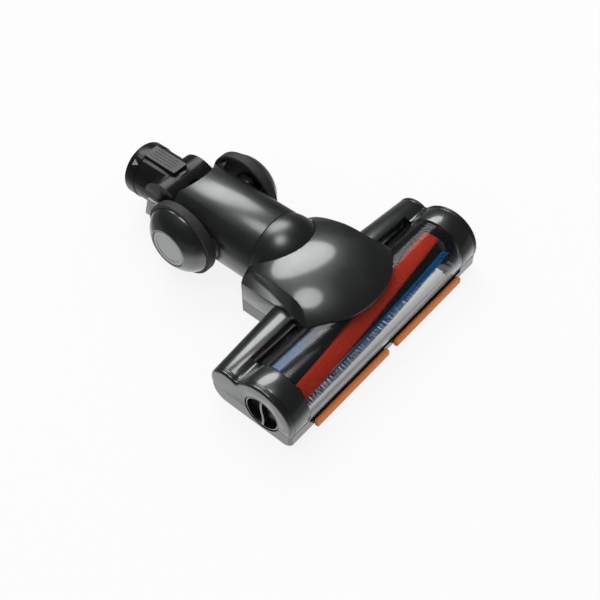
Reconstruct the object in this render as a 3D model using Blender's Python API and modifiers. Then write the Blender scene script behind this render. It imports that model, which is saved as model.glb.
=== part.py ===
"""Vacuum floor nozzle: a motorised head with a clear window over its brush bar, a ball elbow,
a neck on two cone wheels and a tilting wand connector.

Units are metres. X runs along the brush bar, -Y is the front, +Z is up. The sizes below are
measured from the brush axis in Y; one empty at the end moves the whole so that the origin lies
under the middle of the box that holds it.
"""
import math

import bmesh
import bpy
from mathutils import Matrix, Vector

# Clearances
GAP = 0.0003            # between pieces that touch
RUN = 0.0006            # between pieces that turn past each other
OVER = 0.002            # how far a cutter reaches past what it cuts

# Head
HEAD_WIDTH = 0.210      # over the end caps
CAP_THICKNESS = 0.0042
CAP_EDGE = 0.0022       # rounding of the end caps' outer edge
SECTION_LENGTH = 0.0150  # solid end section outboard of the window
HALF = HEAD_WIDTH / 2
SECTION_X = HALF - CAP_THICKNESS - GAP
WINDOW_X = SECTION_X - SECTION_LENGTH
SEAM_Z = 0.0137         # where upper shell and base plate meet
SOLE_Z = 0.0012         # underside of the base plate
BRUSH_Z = 0.0187        # brush axis above the floor
BARREL_R = 0.0250       # outside of the window and of the head over the brush
BORE_R = 0.0212         # brush chamber inside the end sections
LOBE_Y_END = BARREL_R + 0.0055  # wing behind the brush: centre and radius at the ends
LOBE_R_END = 0.0150
LOBE_Y_MID = BARREL_R + 0.0070  # and beside the centre bay
LOBE_R_MID = 0.0180
LOBE_Z = 0.0192
WING_BORE_R = 0.0088    # hollow inside the wings, behind the brush chamber
WING_WALL = 0.0015      # least wall between that hollow and the window
WING_BORE_Y = BARREL_R + WING_WALL + WING_BORE_R
SLOT_FRONT_Y = BARREL_R - 0.0100  # recess between window and wing
SLOT_REAR_Y = BARREL_R + 0.0020
SLOT_FLOOR_Z = 0.0220
FRONT_LIP_Y = 0.0004 - BARREL_R
REAR_FOOT_Y = BARREL_R + 0.0202
SOLE_CORNER = 0.0110    # rounding of the base plate's rear lower edge
MOUTH_HALF_DEPTH = 0.0165
MOUTH_HALF_WIDTH = WINDOW_X - 0.0025

# Strips under the head
GLIDE_INNER_X = 0.0045  # half the gap between the two front strips
GLIDE_OUTER_X = WINDOW_X - 0.0040
GLIDE_DEPTH = 0.0036
GLIDE_TOP_Z = 0.0095
GLIDE_LOW_Z = 0.0035
GLIDE_CROWN = 0.0018    # rounding of the upper and lower front edges
GLIDE_TOE = 0.0014
REAR_STRIP_Y = BARREL_R - 0.0015
REAR_STRIP_DEPTH = 0.0050
REAR_STRIP_TOP = 0.0024
STRIP_HALF_WIDTH = WINDOW_X - 0.0055

# Window and its seal
WINDOW_WALL = 0.0020
WINDOW_FRONT_Z = 0.0114
WINDOW_REAR_Z = 0.0145
SEAL_HEIGHT = 0.0012

# Centre bay, ball and dome
BALL_R = 0.0310
BALL_WALL = 0.0026
BALL_ROOM = 0.0047      # between the ball and the front wall of its bay
CHEEK_WALL = 0.0079     # sides of the bay, which carry the ball's pins
BAY_FRONT_Y = BARREL_R + 0.0105
BALL_Y = BAY_FRONT_Y + BALL_ROOM + BALL_R
BALL_Z = BALL_R + 0.0010  # the ball clears the floor by 1 mm
BAY_HALF_WIDTH = BALL_R + RUN + CHEEK_WALL
BAY_REAR_Y = BALL_Y + 0.0058
BAY_TOP_Z = BALL_Z - 0.0004
BALL_MOUTH_R = 0.0185
DUCT_R = 0.0150
DOME_EDGE_Z = BALL_Z + 0.0130  # height of the shield's edge
DOME_WIDE = BAY_HALF_WIDTH + 0.0075  # half width of the shield at its front corners
DOME_NARROW = BALL_R + 0.0025  # half width at the ball
DOME_FRONT_Y = -0.0098
DOME_CORNER_Y = 0.0080
DOME_TOP = 0.0300       # crown of the dome above its centre
DOME_CENTRE_Y = 0.0360
DOME_CENTRE_Z = BALL_Z - 0.0040
DOME_RX = DOME_WIDE + 0.0130
DOME_RY = 0.0560
DOME_WALL = 0.0026
PIN_R = 0.0030
PIN_BITE = 0.0020       # how deep the pivot pins stand in the ears on the cheeks
EAR_R = 0.0052
PITCH_UP = 30.0         # degrees that the ball lets the neck rise
TOP_Z = BALL_Z + BALL_R + 0.0070  # clear above the whole nozzle

# Elbow and neck
NECK_STEP = 0.0010      # how far the ball stands over the neck where they meet
NECK_R = BALL_R - NECK_STEP
NECK_WALL = 0.0026
NECK_SEAM_Z = BALL_Z + 0.0070
SEAL_THICKNESS = 0.0018  # ring between spigot and neck
SEAL_INSET = 0.0020
SEAL_LENGTH = 0.0060
SPIGOT_R = NECK_R - NECK_WALL - 2 * GAP - SEAL_THICKNESS
SPIGOT_LENGTH = 0.0130
SPIGOT_WALL = 0.0025
NECK_HEEL_Y = 0.1930
NECK_ARM_Y = 0.1810
NECK_FLAT_X = NECK_R - 0.0022  # flats beside the wheels
FLAT_FRONT_Y = 0.1080

# Wheels
WHEEL_Y = 0.1400
WHEEL_R = 0.0300
WHEEL_INNER_X = NECK_FLAT_X + 0.0020
TYRE_WIDTH = 0.0078
CONE_TIP_X = WHEEL_INNER_X + 0.0192
DISC_R = 0.0150
BOSS_R = 0.0250
AXLE_R = 0.0032

# Wand connector
TILT_Y = 0.1720
TILT_Z = BALL_Z - 0.0010
TILT_PIN_R = PIN_R + 0.0005
TUBE_R = 0.0214
TUBE_WALL = 0.0042
TUBE_FRONT_Y = 0.1685
TUBE_END_Y = 0.2140
COLLAR_STEP = 0.0006
DRUM_HALF_WIDTH = TUBE_R - 0.0011
HUMP_HALF_WIDTH = 0.0065
HUMP_HEIGHT = 0.0018
HUMP_END_Y = 0.2040
CONTACT_HALF_WIDTH = 0.0042
CONTACT_DEPTH = 0.0080

# Brush bar
BRUSH_HALF_LENGTH = WINDOW_X - 0.0040
CORE_R = 0.0118
BRUSH_TIP_R = 0.0183
BAND_ANGLE = 46.0       # degrees of the bar that one soft band covers
BAND_START = 32.0       # angle of the band's middle above the front, at the -X end
TWIST = 62.0            # degrees that bands and combs turn along the bar
BAND_STEPS = 16
COMB_LEAD = 62.0        # angle from band to comb
COMB_TEETH = 18
COMB_THICKNESS = 5.0    # degrees
BRUSH_PULLEY_R = 0.0080
MOTOR_PULLEY_R = 0.0036
BELT_WIDTH = 0.0050
BELT_THICKNESS = 0.0014
BELT_X = WINDOW_X + 0.0050
LOCK_R = 0.0145
LOCK_LENGTH = 0.0160
LOCK_DEPTH = LOCK_LENGTH + 0.0005
LOCK_POCKET = 0.0045
LOCK_BAR = 0.0012       # half thickness of the grip bar across the lock's face
SLEEVE_ROOT = 0.0010    # how deep the bearing sleeve is rooted in the right end cap
BUSH_R = 0.0064
BUSH_LENGTH = 0.0050
BUSH_SEAT_R = BUSH_R + GAP

# Screws through the base plate
SCREW_HEAD_R = 0.0026
SCREW_HEAD_HEIGHT = 0.0018
SCREW_SHANK_R = 0.0012
SCREW_LENGTH = 0.0080
SCREW_END_X = SECTION_X - 0.0065
SCREW_END_Y = BARREL_R + 0.0040
SCREW_BAY_X = BAY_HALF_WIDTH - 0.0040
SCREW_BAY_Y = BAY_REAR_Y - 0.0170
SCREW_PLACES = [(-SCREW_END_X, SCREW_END_Y), (SCREW_END_X, SCREW_END_Y),
                (-SCREW_BAY_X, SCREW_BAY_Y), (SCREW_BAY_X, SCREW_BAY_Y)]

STEPS = 28              # sides of a round piece


def clear_scene():
    for item in list(bpy.data.objects):
        bpy.data.objects.remove(item, do_unlink=True)
    for group in list(bpy.data.collections):
        bpy.data.collections.remove(group)


def collection(name):
    group = bpy.data.collections.new(name)
    bpy.context.scene.collection.children.link(group)
    return group


def material(name, colour, roughness, metallic=0.0, alpha=1.0):
    finish = bpy.data.materials.new(name)
    finish.use_nodes = True
    shader = finish.node_tree.nodes["Principled BSDF"]
    shader.inputs["Base Color"].default_value = (*colour, 1.0)
    shader.inputs["Roughness"].default_value = roughness
    shader.inputs["Metallic"].default_value = metallic
    shader.inputs["Alpha"].default_value = alpha
    return finish


def add_object(name, mesh, group, finish=None):
    item = bpy.data.objects.new(name, mesh)
    group.objects.link(item)
    if finish is not None:
        mesh.materials.clear()
        mesh.materials.append(finish)
    return item


def mesh_from(bm, name):
    bmesh.ops.recalc_face_normals(bm, faces=bm.faces)
    mesh = bpy.data.meshes.new(name)
    bm.to_mesh(mesh)
    bm.free()
    mesh.shade_smooth()
    mesh.set_sharp_from_angle(angle=math.radians(32))
    return mesh


def box(name, low, high, group, finish=None):
    bm = bmesh.new()
    bmesh.ops.create_cube(bm, size=1.0)
    low = Vector(low)
    high = Vector(high)
    bmesh.ops.scale(bm, vec=high - low, verts=bm.verts)
    bmesh.ops.translate(bm, vec=(low + high) / 2, verts=bm.verts)
    return add_object(name, mesh_from(bm, name), group, finish)


AXIS_TURN = {
    "X": Matrix.Rotation(math.radians(90), 4, "Y"),
    "Y": Matrix.Rotation(math.radians(-90), 4, "X"),
    "Z": Matrix.Identity(4),
}


def rod(name, centre, radius, length, axis, group, finish=None, steps=STEPS):
    bm = bmesh.new()
    bmesh.ops.create_cone(bm, cap_ends=True, segments=steps, radius1=radius, radius2=radius, depth=length)
    bmesh.ops.transform(bm, matrix=Matrix.Translation(centre) @ AXIS_TURN[axis], verts=bm.verts)
    return add_object(name, mesh_from(bm, name), group, finish)


def ellipsoid(name, centre, radii, group, segments=STEPS, rings=20):
    bm = bmesh.new()
    bmesh.ops.create_uvsphere(bm, u_segments=segments, v_segments=rings, radius=1.0)
    bmesh.ops.scale(bm, vec=radii, verts=bm.verts)
    bmesh.ops.translate(bm, vec=centre, verts=bm.verts)
    return add_object(name, mesh_from(bm, name), group)


def turned(name, profile, centre, axis, group, finish=None, steps=STEPS):
    """Spin a closed loop of (radius, along) points, or an open one that ends on the axis."""
    following = profile[1:] + profile[:1]
    area = sum(near[0] * far[1] - far[0] * near[1] for near, far in zip(profile, following))
    points = profile if area < 0 else profile[::-1]
    edges = [(index, index + 1) for index in range(len(points) - 1)]
    if points[0][0] > 0.0 or points[-1][0] > 0.0:
        edges.append((len(points) - 1, 0))
    mesh = bpy.data.meshes.new(name)
    mesh.from_pydata([(radius, 0.0, along) for radius, along in points], edges, [])
    item = add_object(name, mesh, group, finish)
    item.matrix_world = Matrix.Translation(centre) @ AXIS_TURN[axis]
    turn = item.modifiers.new("turn", "SCREW")
    turn.axis = "Z"
    turn.steps = steps
    turn.render_steps = steps
    turn.use_merge_vertices = True
    turn.merge_threshold = 1e-6
    return item


def loft(name, rings, group, finish=None):
    """Skin a row of rings that have the same number of points, and cap both ends."""
    bm = bmesh.new()
    rows = [[bm.verts.new(point) for point in ring] for ring in rings]
    count = len(rows[0])
    for row, following in zip(rows, rows[1:]):
        for index in range(count):
            after = (index + 1) % count
            bm.faces.new((row[index], row[after], following[after], following[index]))
    bm.faces.new(rows[0])
    bm.faces.new(rows[-1])
    return add_object(name, mesh_from(bm, name), group, finish)


def plate(name, outline, low, high, axis, group, finish=None):
    """A flat outline given thickness between low and high along an axis."""
    curve = bpy.data.curves.new(name, "CURVE")
    curve.dimensions = "2D"
    curve.fill_mode = "BOTH"
    curve.extrude = (high - low) / 2
    spline = curve.splines.new("POLY")
    spline.points.add(len(outline) - 1)
    for point, (first, second) in zip(spline.points, outline):
        point.co = (first, second, 0.0, 1.0)
    spline.use_cyclic_u = True
    guide = bpy.data.objects.new(name + "_outline", curve)
    group.objects.link(guide)
    bpy.context.view_layer.update()
    mesh = bpy.data.meshes.new_from_object(guide.evaluated_get(bpy.context.evaluated_depsgraph_get()))
    bm = bmesh.new()
    bm.from_mesh(mesh)
    bmesh.ops.remove_doubles(bm, verts=bm.verts, dist=1e-7)
    middle = (low + high) / 2
    if axis == "X":
        turn = Matrix(((0, 0, 1, middle), (1, 0, 0, 0), (0, 1, 0, 0), (0, 0, 0, 1)))
    else:
        turn = Matrix.Translation((0, 0, middle))
    bmesh.ops.transform(bm, matrix=turn, verts=bm.verts)
    bpy.data.objects.remove(guide, do_unlink=True)
    bpy.data.meshes.remove(mesh)
    return add_object(name, mesh_from(bm, name), group, finish)


def boolean(target, other, operation):
    step = target.modifiers.new(other.name, "BOOLEAN")
    step.operation = operation
    step.solver = "EXACT"
    step.object = other
    other.hide_render = True
    other.display_type = "WIRE"


def cut(target, *others):
    for other in others:
        boolean(target, other, "DIFFERENCE")


def join(target, *others):
    for other in others:
        boolean(target, other, "UNION")


def arc(centre, radius, start, end, count):
    """Points on a circle, angles in degrees from the first axis, both ends included."""
    points = []
    for index in range(count + 1):
        angle = math.radians(start + (end - start) * index / count)
        points.append((centre[0] + radius * math.cos(angle), centre[1] + radius * math.sin(angle)))
    return points


def lobe_at(x):
    """Centre and radius of the wing behind the brush at a place along X."""
    share = (abs(x) - BAY_HALF_WIDTH) / (SECTION_X - BAY_HALF_WIDTH)
    share = min(max(share, 0.0), 1.2)
    centre = LOBE_Y_MID + (LOBE_Y_END - LOBE_Y_MID) * share
    return centre, LOBE_R_MID + (LOBE_R_END - LOBE_R_MID) * share


def head_ring(x, inset, base_z, count=10):
    """Section of the head at x: barrel arc, wing arc, and a flat side at base_z."""
    lobe_y, lobe_r = lobe_at(x)
    barrel = BARREL_R - inset
    lobe = lobe_r - inset
    reach = math.hypot(lobe_y, LOBE_Z - BRUSH_Z)
    along = (reach ** 2 + barrel ** 2 - lobe ** 2) / (2 * reach)
    height = math.sqrt(barrel ** 2 - along ** 2)
    tilt = math.atan2(LOBE_Z - BRUSH_Z, lobe_y)
    meet_y = along * math.cos(tilt) - height * math.sin(tilt)
    meet_z = along * math.sin(tilt) + height * math.cos(tilt)
    front = 180 + math.degrees(math.asin((BRUSH_Z - base_z) / barrel))
    valley = math.degrees(math.atan2(meet_z, meet_y))
    lobe_start = math.degrees(math.atan2(meet_z + BRUSH_Z - LOBE_Z, meet_y - lobe_y))
    lobe_end = -math.degrees(math.asin((LOBE_Z - base_z) / lobe))
    points = arc((0.0, BRUSH_Z), barrel, front, valley, count)
    points += arc((lobe_y, LOBE_Z), lobe, lobe_start, lobe_end, count)[1:]
    return [(x, y, z) for y, z in points]


def head_loft(name, inset, base_z, reach, group, finish=None):
    stations = [-reach, -BAY_HALF_WIDTH, BAY_HALF_WIDTH, reach]
    return loft(name, [head_ring(x, inset, base_z) for x in stations], group, finish)


def make_upper_shell(parts, cutters, finish):
    shell = head_loft("upper_shell", 0.0, SEAM_Z + GAP / 2, SECTION_X, parts, finish)
    pod = box("pod_walls", (-BAY_HALF_WIDTH, BAY_FRONT_Y - 0.010, SEAM_Z + GAP / 2),
              (BAY_HALF_WIDTH, BAY_REAR_Y, BAY_TOP_Z), cutters)
    join(shell, pod)
    for side, sign in (("left", -1), ("right", 1)):
        outer = BALL_R + RUN + PIN_BITE + 0.0006
        join(shell, rod("pin_ear_" + side, (sign * (outer - 0.002), BALL_Y, BALL_Z), EAR_R, 0.004, "X", cutters,
                        steps=20))
    seat_r = BARREL_R + GAP
    foot = -math.degrees(math.asin((BRUSH_Z - 0.005) / seat_r))
    outline = [(-0.040, 0.005)] + arc((0.0, BRUSH_Z), seat_r, foot, 90, 14) + [(-0.040, BRUSH_Z + seat_r)]
    window_bay = plate("window_bay", outline, -WINDOW_X, WINDOW_X, "X", cutters)
    bore = rod("brush_bore", (0, 0, BRUSH_Z), BORE_R, HEAD_WIDTH + OVER, "X", cutters)
    cut(shell, window_bay, bore)
    for side, sign in (("left", -1), ("right", 1)):
        inner = sign * (BAY_HALF_WIDTH - 0.001)
        outer = sign * (WINDOW_X - 0.0015)
        slot = box("slot_" + side, (min(inner, outer), SLOT_FRONT_Y, SLOT_FLOOR_Z),
                   (max(inner, outer), SLOT_REAR_Y, TOP_Z), cutters)
        cut(shell, slot, wing_hollow(side, sign, cutters))
    cut(shell, ball_bay(cutters), air_duct(cutters), belt_slot(cutters))
    cut(shell, pin_hole("shell_pin_hole", BALL_R + RUN + PIN_BITE, PIN_R + GAP, cutters))
    return shell


def wing_hollow(side, sign, cutters):
    length = SECTION_X - BAY_HALF_WIDTH - 0.004
    centre = sign * (SECTION_X - 0.002 - length / 2)
    return rod("wing_hollow_" + side, (centre, WING_BORE_Y, LOBE_Z), WING_BORE_R, length, "X", cutters)


def ball_bay(cutters):
    half = BALL_R + RUN
    return box("ball_bay", (-half, BAY_FRONT_Y, -OVER), (half, BAY_REAR_Y + OVER, TOP_Z), cutters)


def air_duct(cutters):
    return rod("air_duct", (0, (BAY_FRONT_Y + 0.015) / 2, BALL_Z - 0.001), DUCT_R, BAY_FRONT_Y, "Y", cutters)


def belt_slot(cutters):
    half = BELT_WIDTH / 2 + 0.0013
    depth = BRUSH_PULLEY_R + 0.0026
    return box("belt_slot", (BELT_X - half, 0.0, BRUSH_Z - depth), (BELT_X + half, WING_BORE_Y, BRUSH_Z + depth),
               cutters)


def pin_hole(name, reach, radius, cutters):
    return rod(name, (0, BALL_Y, BALL_Z), radius, 2 * reach, "X", cutters, steps=20)


def base_ring(x, inset, top_z):
    """Section of the base plate at x, front lip round to rear foot."""
    front = FRONT_LIP_Y + inset
    rear = REAR_FOOT_Y - inset
    low = SOLE_Z + inset * 0.5
    points = [(front, top_z), (front, low + 0.003), (front + 0.0012, low + 0.0008), (front + 0.003, low)]
    centre = (rear - SOLE_CORNER, low + SOLE_CORNER)
    points += arc(centre, SOLE_CORNER, -90, -10, 6)
    points.append((rear, top_z))
    return [(x, y, z) for y, z in points]


def make_base_plate(parts, cutters, finish):
    top = SEAM_Z - GAP / 2
    stations = [(HALF, CAP_EDGE), (HALF - CAP_EDGE * 0.45, CAP_EDGE * 0.3), (HALF - CAP_EDGE, 0.0)]
    rings = [base_ring(-x, inset, top) for x, inset in stations]
    rings += [base_ring(x, inset, top) for x, inset in reversed(stations)]
    base = loft("base_plate", rings, parts, finish)
    heel = box("base_heel", (-BAY_HALF_WIDTH, REAR_FOOT_Y - 0.012, SOLE_Z + 0.0006),
               (BAY_HALF_WIDTH, BAY_REAR_Y, top), cutters)
    join(base, heel)
    reach = HALF - CAP_THICKNESS - LOCK_DEPTH
    chamber = rod("base_chamber", (0, 0, BRUSH_Z), BORE_R, 2 * reach, "X", cutters)
    mouth = box("suction_mouth", (-MOUTH_HALF_WIDTH, -MOUTH_HALF_DEPTH, -OVER),
                (MOUTH_HALF_WIDTH, MOUTH_HALF_DEPTH, SEAM_Z), cutters)
    lip = box("window_ledge", (-WINDOW_X, -0.030, WINDOW_FRONT_Z - SEAL_HEIGHT - 2 * GAP),
              (WINDOW_X, 0.0, SEAM_Z), cutters)
    cut(base, chamber, mouth, lip, bpy.data.objects["ball_bay"], bpy.data.objects["belt_slot"])
    cut(base, bpy.data.objects["wing_hollow_left"], bpy.data.objects["wing_hollow_right"])
    notch = rod("lock_notch", (-HALF, 0, BRUSH_Z), LOCK_R + GAP, 2 * (CAP_THICKNESS + LOCK_DEPTH), "X", cutters)
    room_end = HALF - CAP_THICKNESS + SLEEVE_ROOT + GAP
    room_length = LOCK_DEPTH + 2 * OVER
    pulley_room = rod("pulley_room", (room_end - room_length / 2, 0, BRUSH_Z), LOCK_R, room_length, "X", cutters)
    cut(base, notch, pulley_room)
    screw_seats = [screw_cutter(index, place, cutters) for index, place in enumerate(SCREW_PLACES)]
    cut(base, *screw_seats)
    seat = strip_seat("rear_strip_seat", GAP, cutters)
    cut(base, seat)
    return base


def screw_cutter(index, place, cutters):
    profile = screw_profile(GAP)
    floor = SOLE_Z + 0.0006
    return turned(f"screw_seat_{index + 1}", profile, (place[0], place[1], floor), "Z", cutters, steps=12)


def screw_profile(grow):
    head = SCREW_HEAD_R + grow
    shank = SCREW_SHANK_R + grow
    low = -OVER if grow else 0.0008
    return [(0.0, low), (head, low), (head, SCREW_HEAD_HEIGHT + grow), (shank, SCREW_HEAD_HEIGHT + grow + 0.0008),
            (shank, SCREW_LENGTH + grow), (0.0, SCREW_LENGTH + grow)]


def make_screws(parts, finish):
    floor = SOLE_Z + 0.0006
    for index, place in enumerate(SCREW_PLACES):
        turned(f"base_screw_{index + 1}", screw_profile(0.0), (place[0], place[1], floor), "Z", parts, finish, 12)


def strip_seat(name, grow, group, finish=None, low=-OVER):
    return box(name, (-STRIP_HALF_WIDTH - grow, REAR_STRIP_Y - grow, low),
               (STRIP_HALF_WIDTH + grow, REAR_STRIP_Y + REAR_STRIP_DEPTH + grow, REAR_STRIP_TOP + grow),
               group, finish)


def glide_outline():
    """Section of an orange strip: a soft lip along the front, clear of the floor."""
    back = FRONT_LIP_Y - GAP
    front = back - GLIDE_DEPTH
    crown = arc((front + GLIDE_CROWN, GLIDE_TOP_Z - GLIDE_CROWN), GLIDE_CROWN, 90, 180, 4)
    toe = arc((front + GLIDE_TOE, GLIDE_LOW_Z + GLIDE_TOE), GLIDE_TOE, 180, 270, 3)
    return [(back, GLIDE_TOP_Z)] + crown + toe + [(back, GLIDE_LOW_Z)]


def make_glide_strips(parts, finish):
    for side, sign in (("left", -1), ("right", 1)):
        low = min(sign * GLIDE_INNER_X, sign * GLIDE_OUTER_X)
        high = max(sign * GLIDE_INNER_X, sign * GLIDE_OUTER_X)
        plate("glide_strip_" + side, glide_outline(), low, high, "X", parts, finish)


def window_outline(inner, outer, front_z, rear_z):
    front = 180 + math.degrees(math.asin((BRUSH_Z - front_z) / BARREL_R))
    rear = -math.degrees(math.asin((BRUSH_Z - rear_z) / BARREL_R))
    outside = arc((0.0, BRUSH_Z), outer, front, rear, 20)
    inside = arc((0.0, BRUSH_Z), inner, rear, front, 20)
    return outside + inside


def make_window(parts, finish):
    outline = window_outline(BARREL_R - WINDOW_WALL, BARREL_R, WINDOW_FRONT_Z, WINDOW_REAR_Z)
    return plate("brush_window", outline, -WINDOW_X + GAP, WINDOW_X - GAP, "X", parts, finish)


def make_window_seal(parts, finish):
    top = WINDOW_FRONT_Z - GAP
    base = top - SEAL_HEIGHT
    outline = window_outline(BARREL_R - WINDOW_WALL, BARREL_R, WINDOW_FRONT_Z, WINDOW_REAR_Z)
    inner_y = outline[-1][0]
    outer_y = outline[0][0]
    return box("window_seal", (-WINDOW_X + GAP, outer_y, base), (WINDOW_X - GAP, inner_y, top), parts, finish)


def make_end_caps(parts, cutters, finish):
    stations = [(HALF, CAP_EDGE), (HALF - CAP_EDGE * 0.45, CAP_EDGE * 0.3),
                (HALF - CAP_EDGE, 0.0), (HALF - CAP_THICKNESS, 0.0)]
    for side, sign in (("left", -1), ("right", 1)):
        rings = [head_ring(sign * x, inset, SEAM_Z + GAP / 2) for x, inset in stations]
        cap = loft("end_cap_" + side, rings, parts, finish)
        if side == "left":
            cut(cap, bpy.data.objects["lock_notch"])


def shield_points():
    """The dome's outline seen from above, left rear corner round the front to the right rear."""
    chord = DOME_WIDE - 0.007
    drop = 0.0138
    radius = (chord ** 2 + drop ** 2) / (2 * drop)
    spread = math.degrees(math.asin(chord / radius))
    front = arc((0.0, DOME_FRONT_Y + radius), radius, 270 - spread, 270 + spread, 12)
    start = (-DOME_WIDE + 0.0005, DOME_CORNER_Y + 0.008)
    end = front[0]
    knee = (-DOME_WIDE - 0.0005, DOME_CORNER_Y + 0.0005)
    corner = []
    for index in range(5):
        t = index / 5
        corner.append(tuple((1 - t) ** 2 * start[k] + 2 * t * (1 - t) * knee[k] + t * t * end[k] for k in (0, 1)))
    left = [(-DOME_NARROW, BAY_REAR_Y)] + corner
    right = [(-x, y) for x, y in reversed(left)]
    return left + front + right


def side_half_width(y):
    share = (BAY_REAR_Y - y) / (BAY_REAR_Y - DOME_CORNER_Y - 0.008)
    return DOME_NARROW + (DOME_WIDE - DOME_NARROW) * min(share, 1.0)


def dome_block(name, inset, group, finish=None, low=BAY_TOP_Z + GAP):
    """Shield prism whose sides lean between the bay walls below and the shield edge above."""
    high = DOME_CENTRE_Z + DOME_TOP + 0.008
    levels = 5
    rings = []
    for level in range(levels + 1):
        z = low + (high - low) * level / levels
        lean = (z - BAY_TOP_Z) / (DOME_EDGE_Z - BAY_TOP_Z)
        ring = []
        for x, y in shield_points():
            foot_x = BAY_HALF_WIDTH * x / side_half_width(y)
            wide = foot_x + (x - foot_x) * lean
            shrink = 1 - inset / BAY_HALF_WIDTH
            front = y + (inset if y < BALL_Y else OVER if inset else 0.0)
            ring.append((wide * shrink, front, z))
        rings.append(ring)
    return loft(name, rings, group, finish)


def make_dome(parts, cutters, finish):
    dome = dome_block("dome_cover", 0.0, parts, finish)
    centre = (0, DOME_CENTRE_Y, DOME_CENTRE_Z)
    crown = ellipsoid("dome_crown", centre, (DOME_RX, DOME_RY, DOME_TOP), cutters, 32, 16)
    boolean(dome, crown, "INTERSECT")
    room = dome_block("dome_room", DOME_WALL, cutters, low=BAY_TOP_Z - OVER)
    inner = ellipsoid("dome_room_crown", centre, (DOME_RX - DOME_WALL, DOME_RY - DOME_WALL, DOME_TOP - DOME_WALL),
                      cutters, 24, 12)
    boolean(room, inner, "INTERSECT")
    saddle = head_loft("dome_saddle", -2 * GAP, SEAM_Z, SECTION_X, cutters)
    socket = ellipsoid("dome_socket", (0, BALL_Y, BALL_Z), (BALL_R + RUN,) * 3, cutters, 32, 16)
    cut(dome, room, saddle, socket, neck_swing(cutters))
    return dome


def neck_swing(cutters):
    """Room for the neck at the top of its pitch, taken off the dome's rear corners."""
    length = 2 * BALL_R
    swing = rod("neck_swing", (0, length / 2, 0), NECK_R + RUN, length, "Y", cutters)
    rise = Matrix.Rotation(math.radians(PITCH_UP), 4, "X")
    swing.matrix_world = Matrix.Translation((0, BALL_Y, BALL_Z)) @ rise
    return swing


def make_elbow(parts, cutters, finish):
    """Hollow ball with its mouth to the front and a swivel spigot to the rear."""
    seam = math.sqrt(BALL_R ** 2 - NECK_R ** 2)
    inner_r = BALL_R - BALL_WALL
    mouth = math.degrees(math.acos(-math.sqrt(BALL_R ** 2 - BALL_MOUTH_R ** 2) / BALL_R))
    rim = math.degrees(math.acos(seam / BALL_R))
    outside = [(r, along) for along, r in arc((0.0, 0.0), BALL_R, rim, mouth, 9)]
    inner_rim = math.degrees(math.acos((seam - BALL_WALL) / inner_r))
    inner_mouth = math.degrees(math.acos(-math.sqrt(inner_r ** 2 - (BALL_MOUTH_R - 0.001) ** 2) / inner_r))
    inside = [(r, along) for along, r in arc((0.0, 0.0), inner_r, inner_mouth, inner_rim, 5)]
    bore = SPIGOT_R - SPIGOT_WALL
    spigot = [(bore, seam - BALL_WALL), (bore, seam + SPIGOT_LENGTH), (SPIGOT_R, seam + SPIGOT_LENGTH),
              (SPIGOT_R, seam)]
    elbow = turned("elbow_ball", outside + inside + spigot, (0, BALL_Y, BALL_Z), "Y", parts, finish, 28)
    cut(elbow, pin_hole("elbow_pin_hole", BALL_R + OVER, PIN_R + RUN, cutters))
    return elbow


def make_pivot_pins(parts, finish):
    inner = BALL_R - BALL_WALL - 0.0006
    outer = BALL_R + RUN + PIN_BITE - GAP
    for side, sign in (("left", -1), ("right", 1)):
        rod("pivot_pin_" + side, (sign * (inner + outer) / 2, BALL_Y, BALL_Z), PIN_R, outer - inner, "X", parts,
            finish, steps=14)


def neck_start():
    return BALL_Y + math.sqrt(BALL_R ** 2 - NECK_R ** 2) + GAP


def neck_tube(name, parts, finish):
    start = neck_start()
    length = NECK_HEEL_Y + OVER - start
    inner = NECK_R - NECK_WALL
    profile = [(inner, 0.0), (NECK_R, 0.0), (NECK_R, length), (inner, length)]
    return turned(name, profile, (0, start, BALL_Z), "Y", parts, finish, 28)


def neck_cutters(cutters):
    """What both shells leave free: the wheels, the drum and the tilting tube."""
    reach = 2 * NECK_R
    items = []
    for side, sign in (("left", -1), ("right", 1)):
        low = min(sign * NECK_FLAT_X, sign * reach)
        high = max(sign * NECK_FLAT_X, sign * reach)
        items.append(box("wheel_flat_" + side, (low, FLAT_FRONT_Y, -OVER), (high, NECK_HEEL_Y + OVER, TOP_Z),
                         cutters))
    sweep = math.hypot(TUBE_R + HUMP_HEIGHT, HUMP_HALF_WIDTH) + RUN
    items.append(rod("tilt_sweep", (0, TILT_Y, TILT_Z), sweep, 2 * (TUBE_R + RUN), "X", cutters))
    items.append(rod("upright_sweep", (0, TILT_Y, BALL_Z + NECK_R), sweep, 2 * NECK_R + OVER, "Z", cutters))
    items.append(rod("axle_hole", (0, WHEEL_Y, WHEEL_R), AXLE_R + GAP, 2 * reach, "X", cutters, steps=22))
    return items


def heel_cutter(cutters):
    """Slants the rear of the arms down to the heel under the connector."""
    far = NECK_HEEL_Y + 2 * OVER
    side = NECK_R + OVER
    outline = [(NECK_ARM_Y, NECK_SEAM_Z), (NECK_HEEL_Y, -OVER), (far, -OVER), (far, TOP_Z), (NECK_ARM_Y, TOP_Z)]
    return plate("heel_slant", outline, -side, side, "X", cutters)


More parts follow.
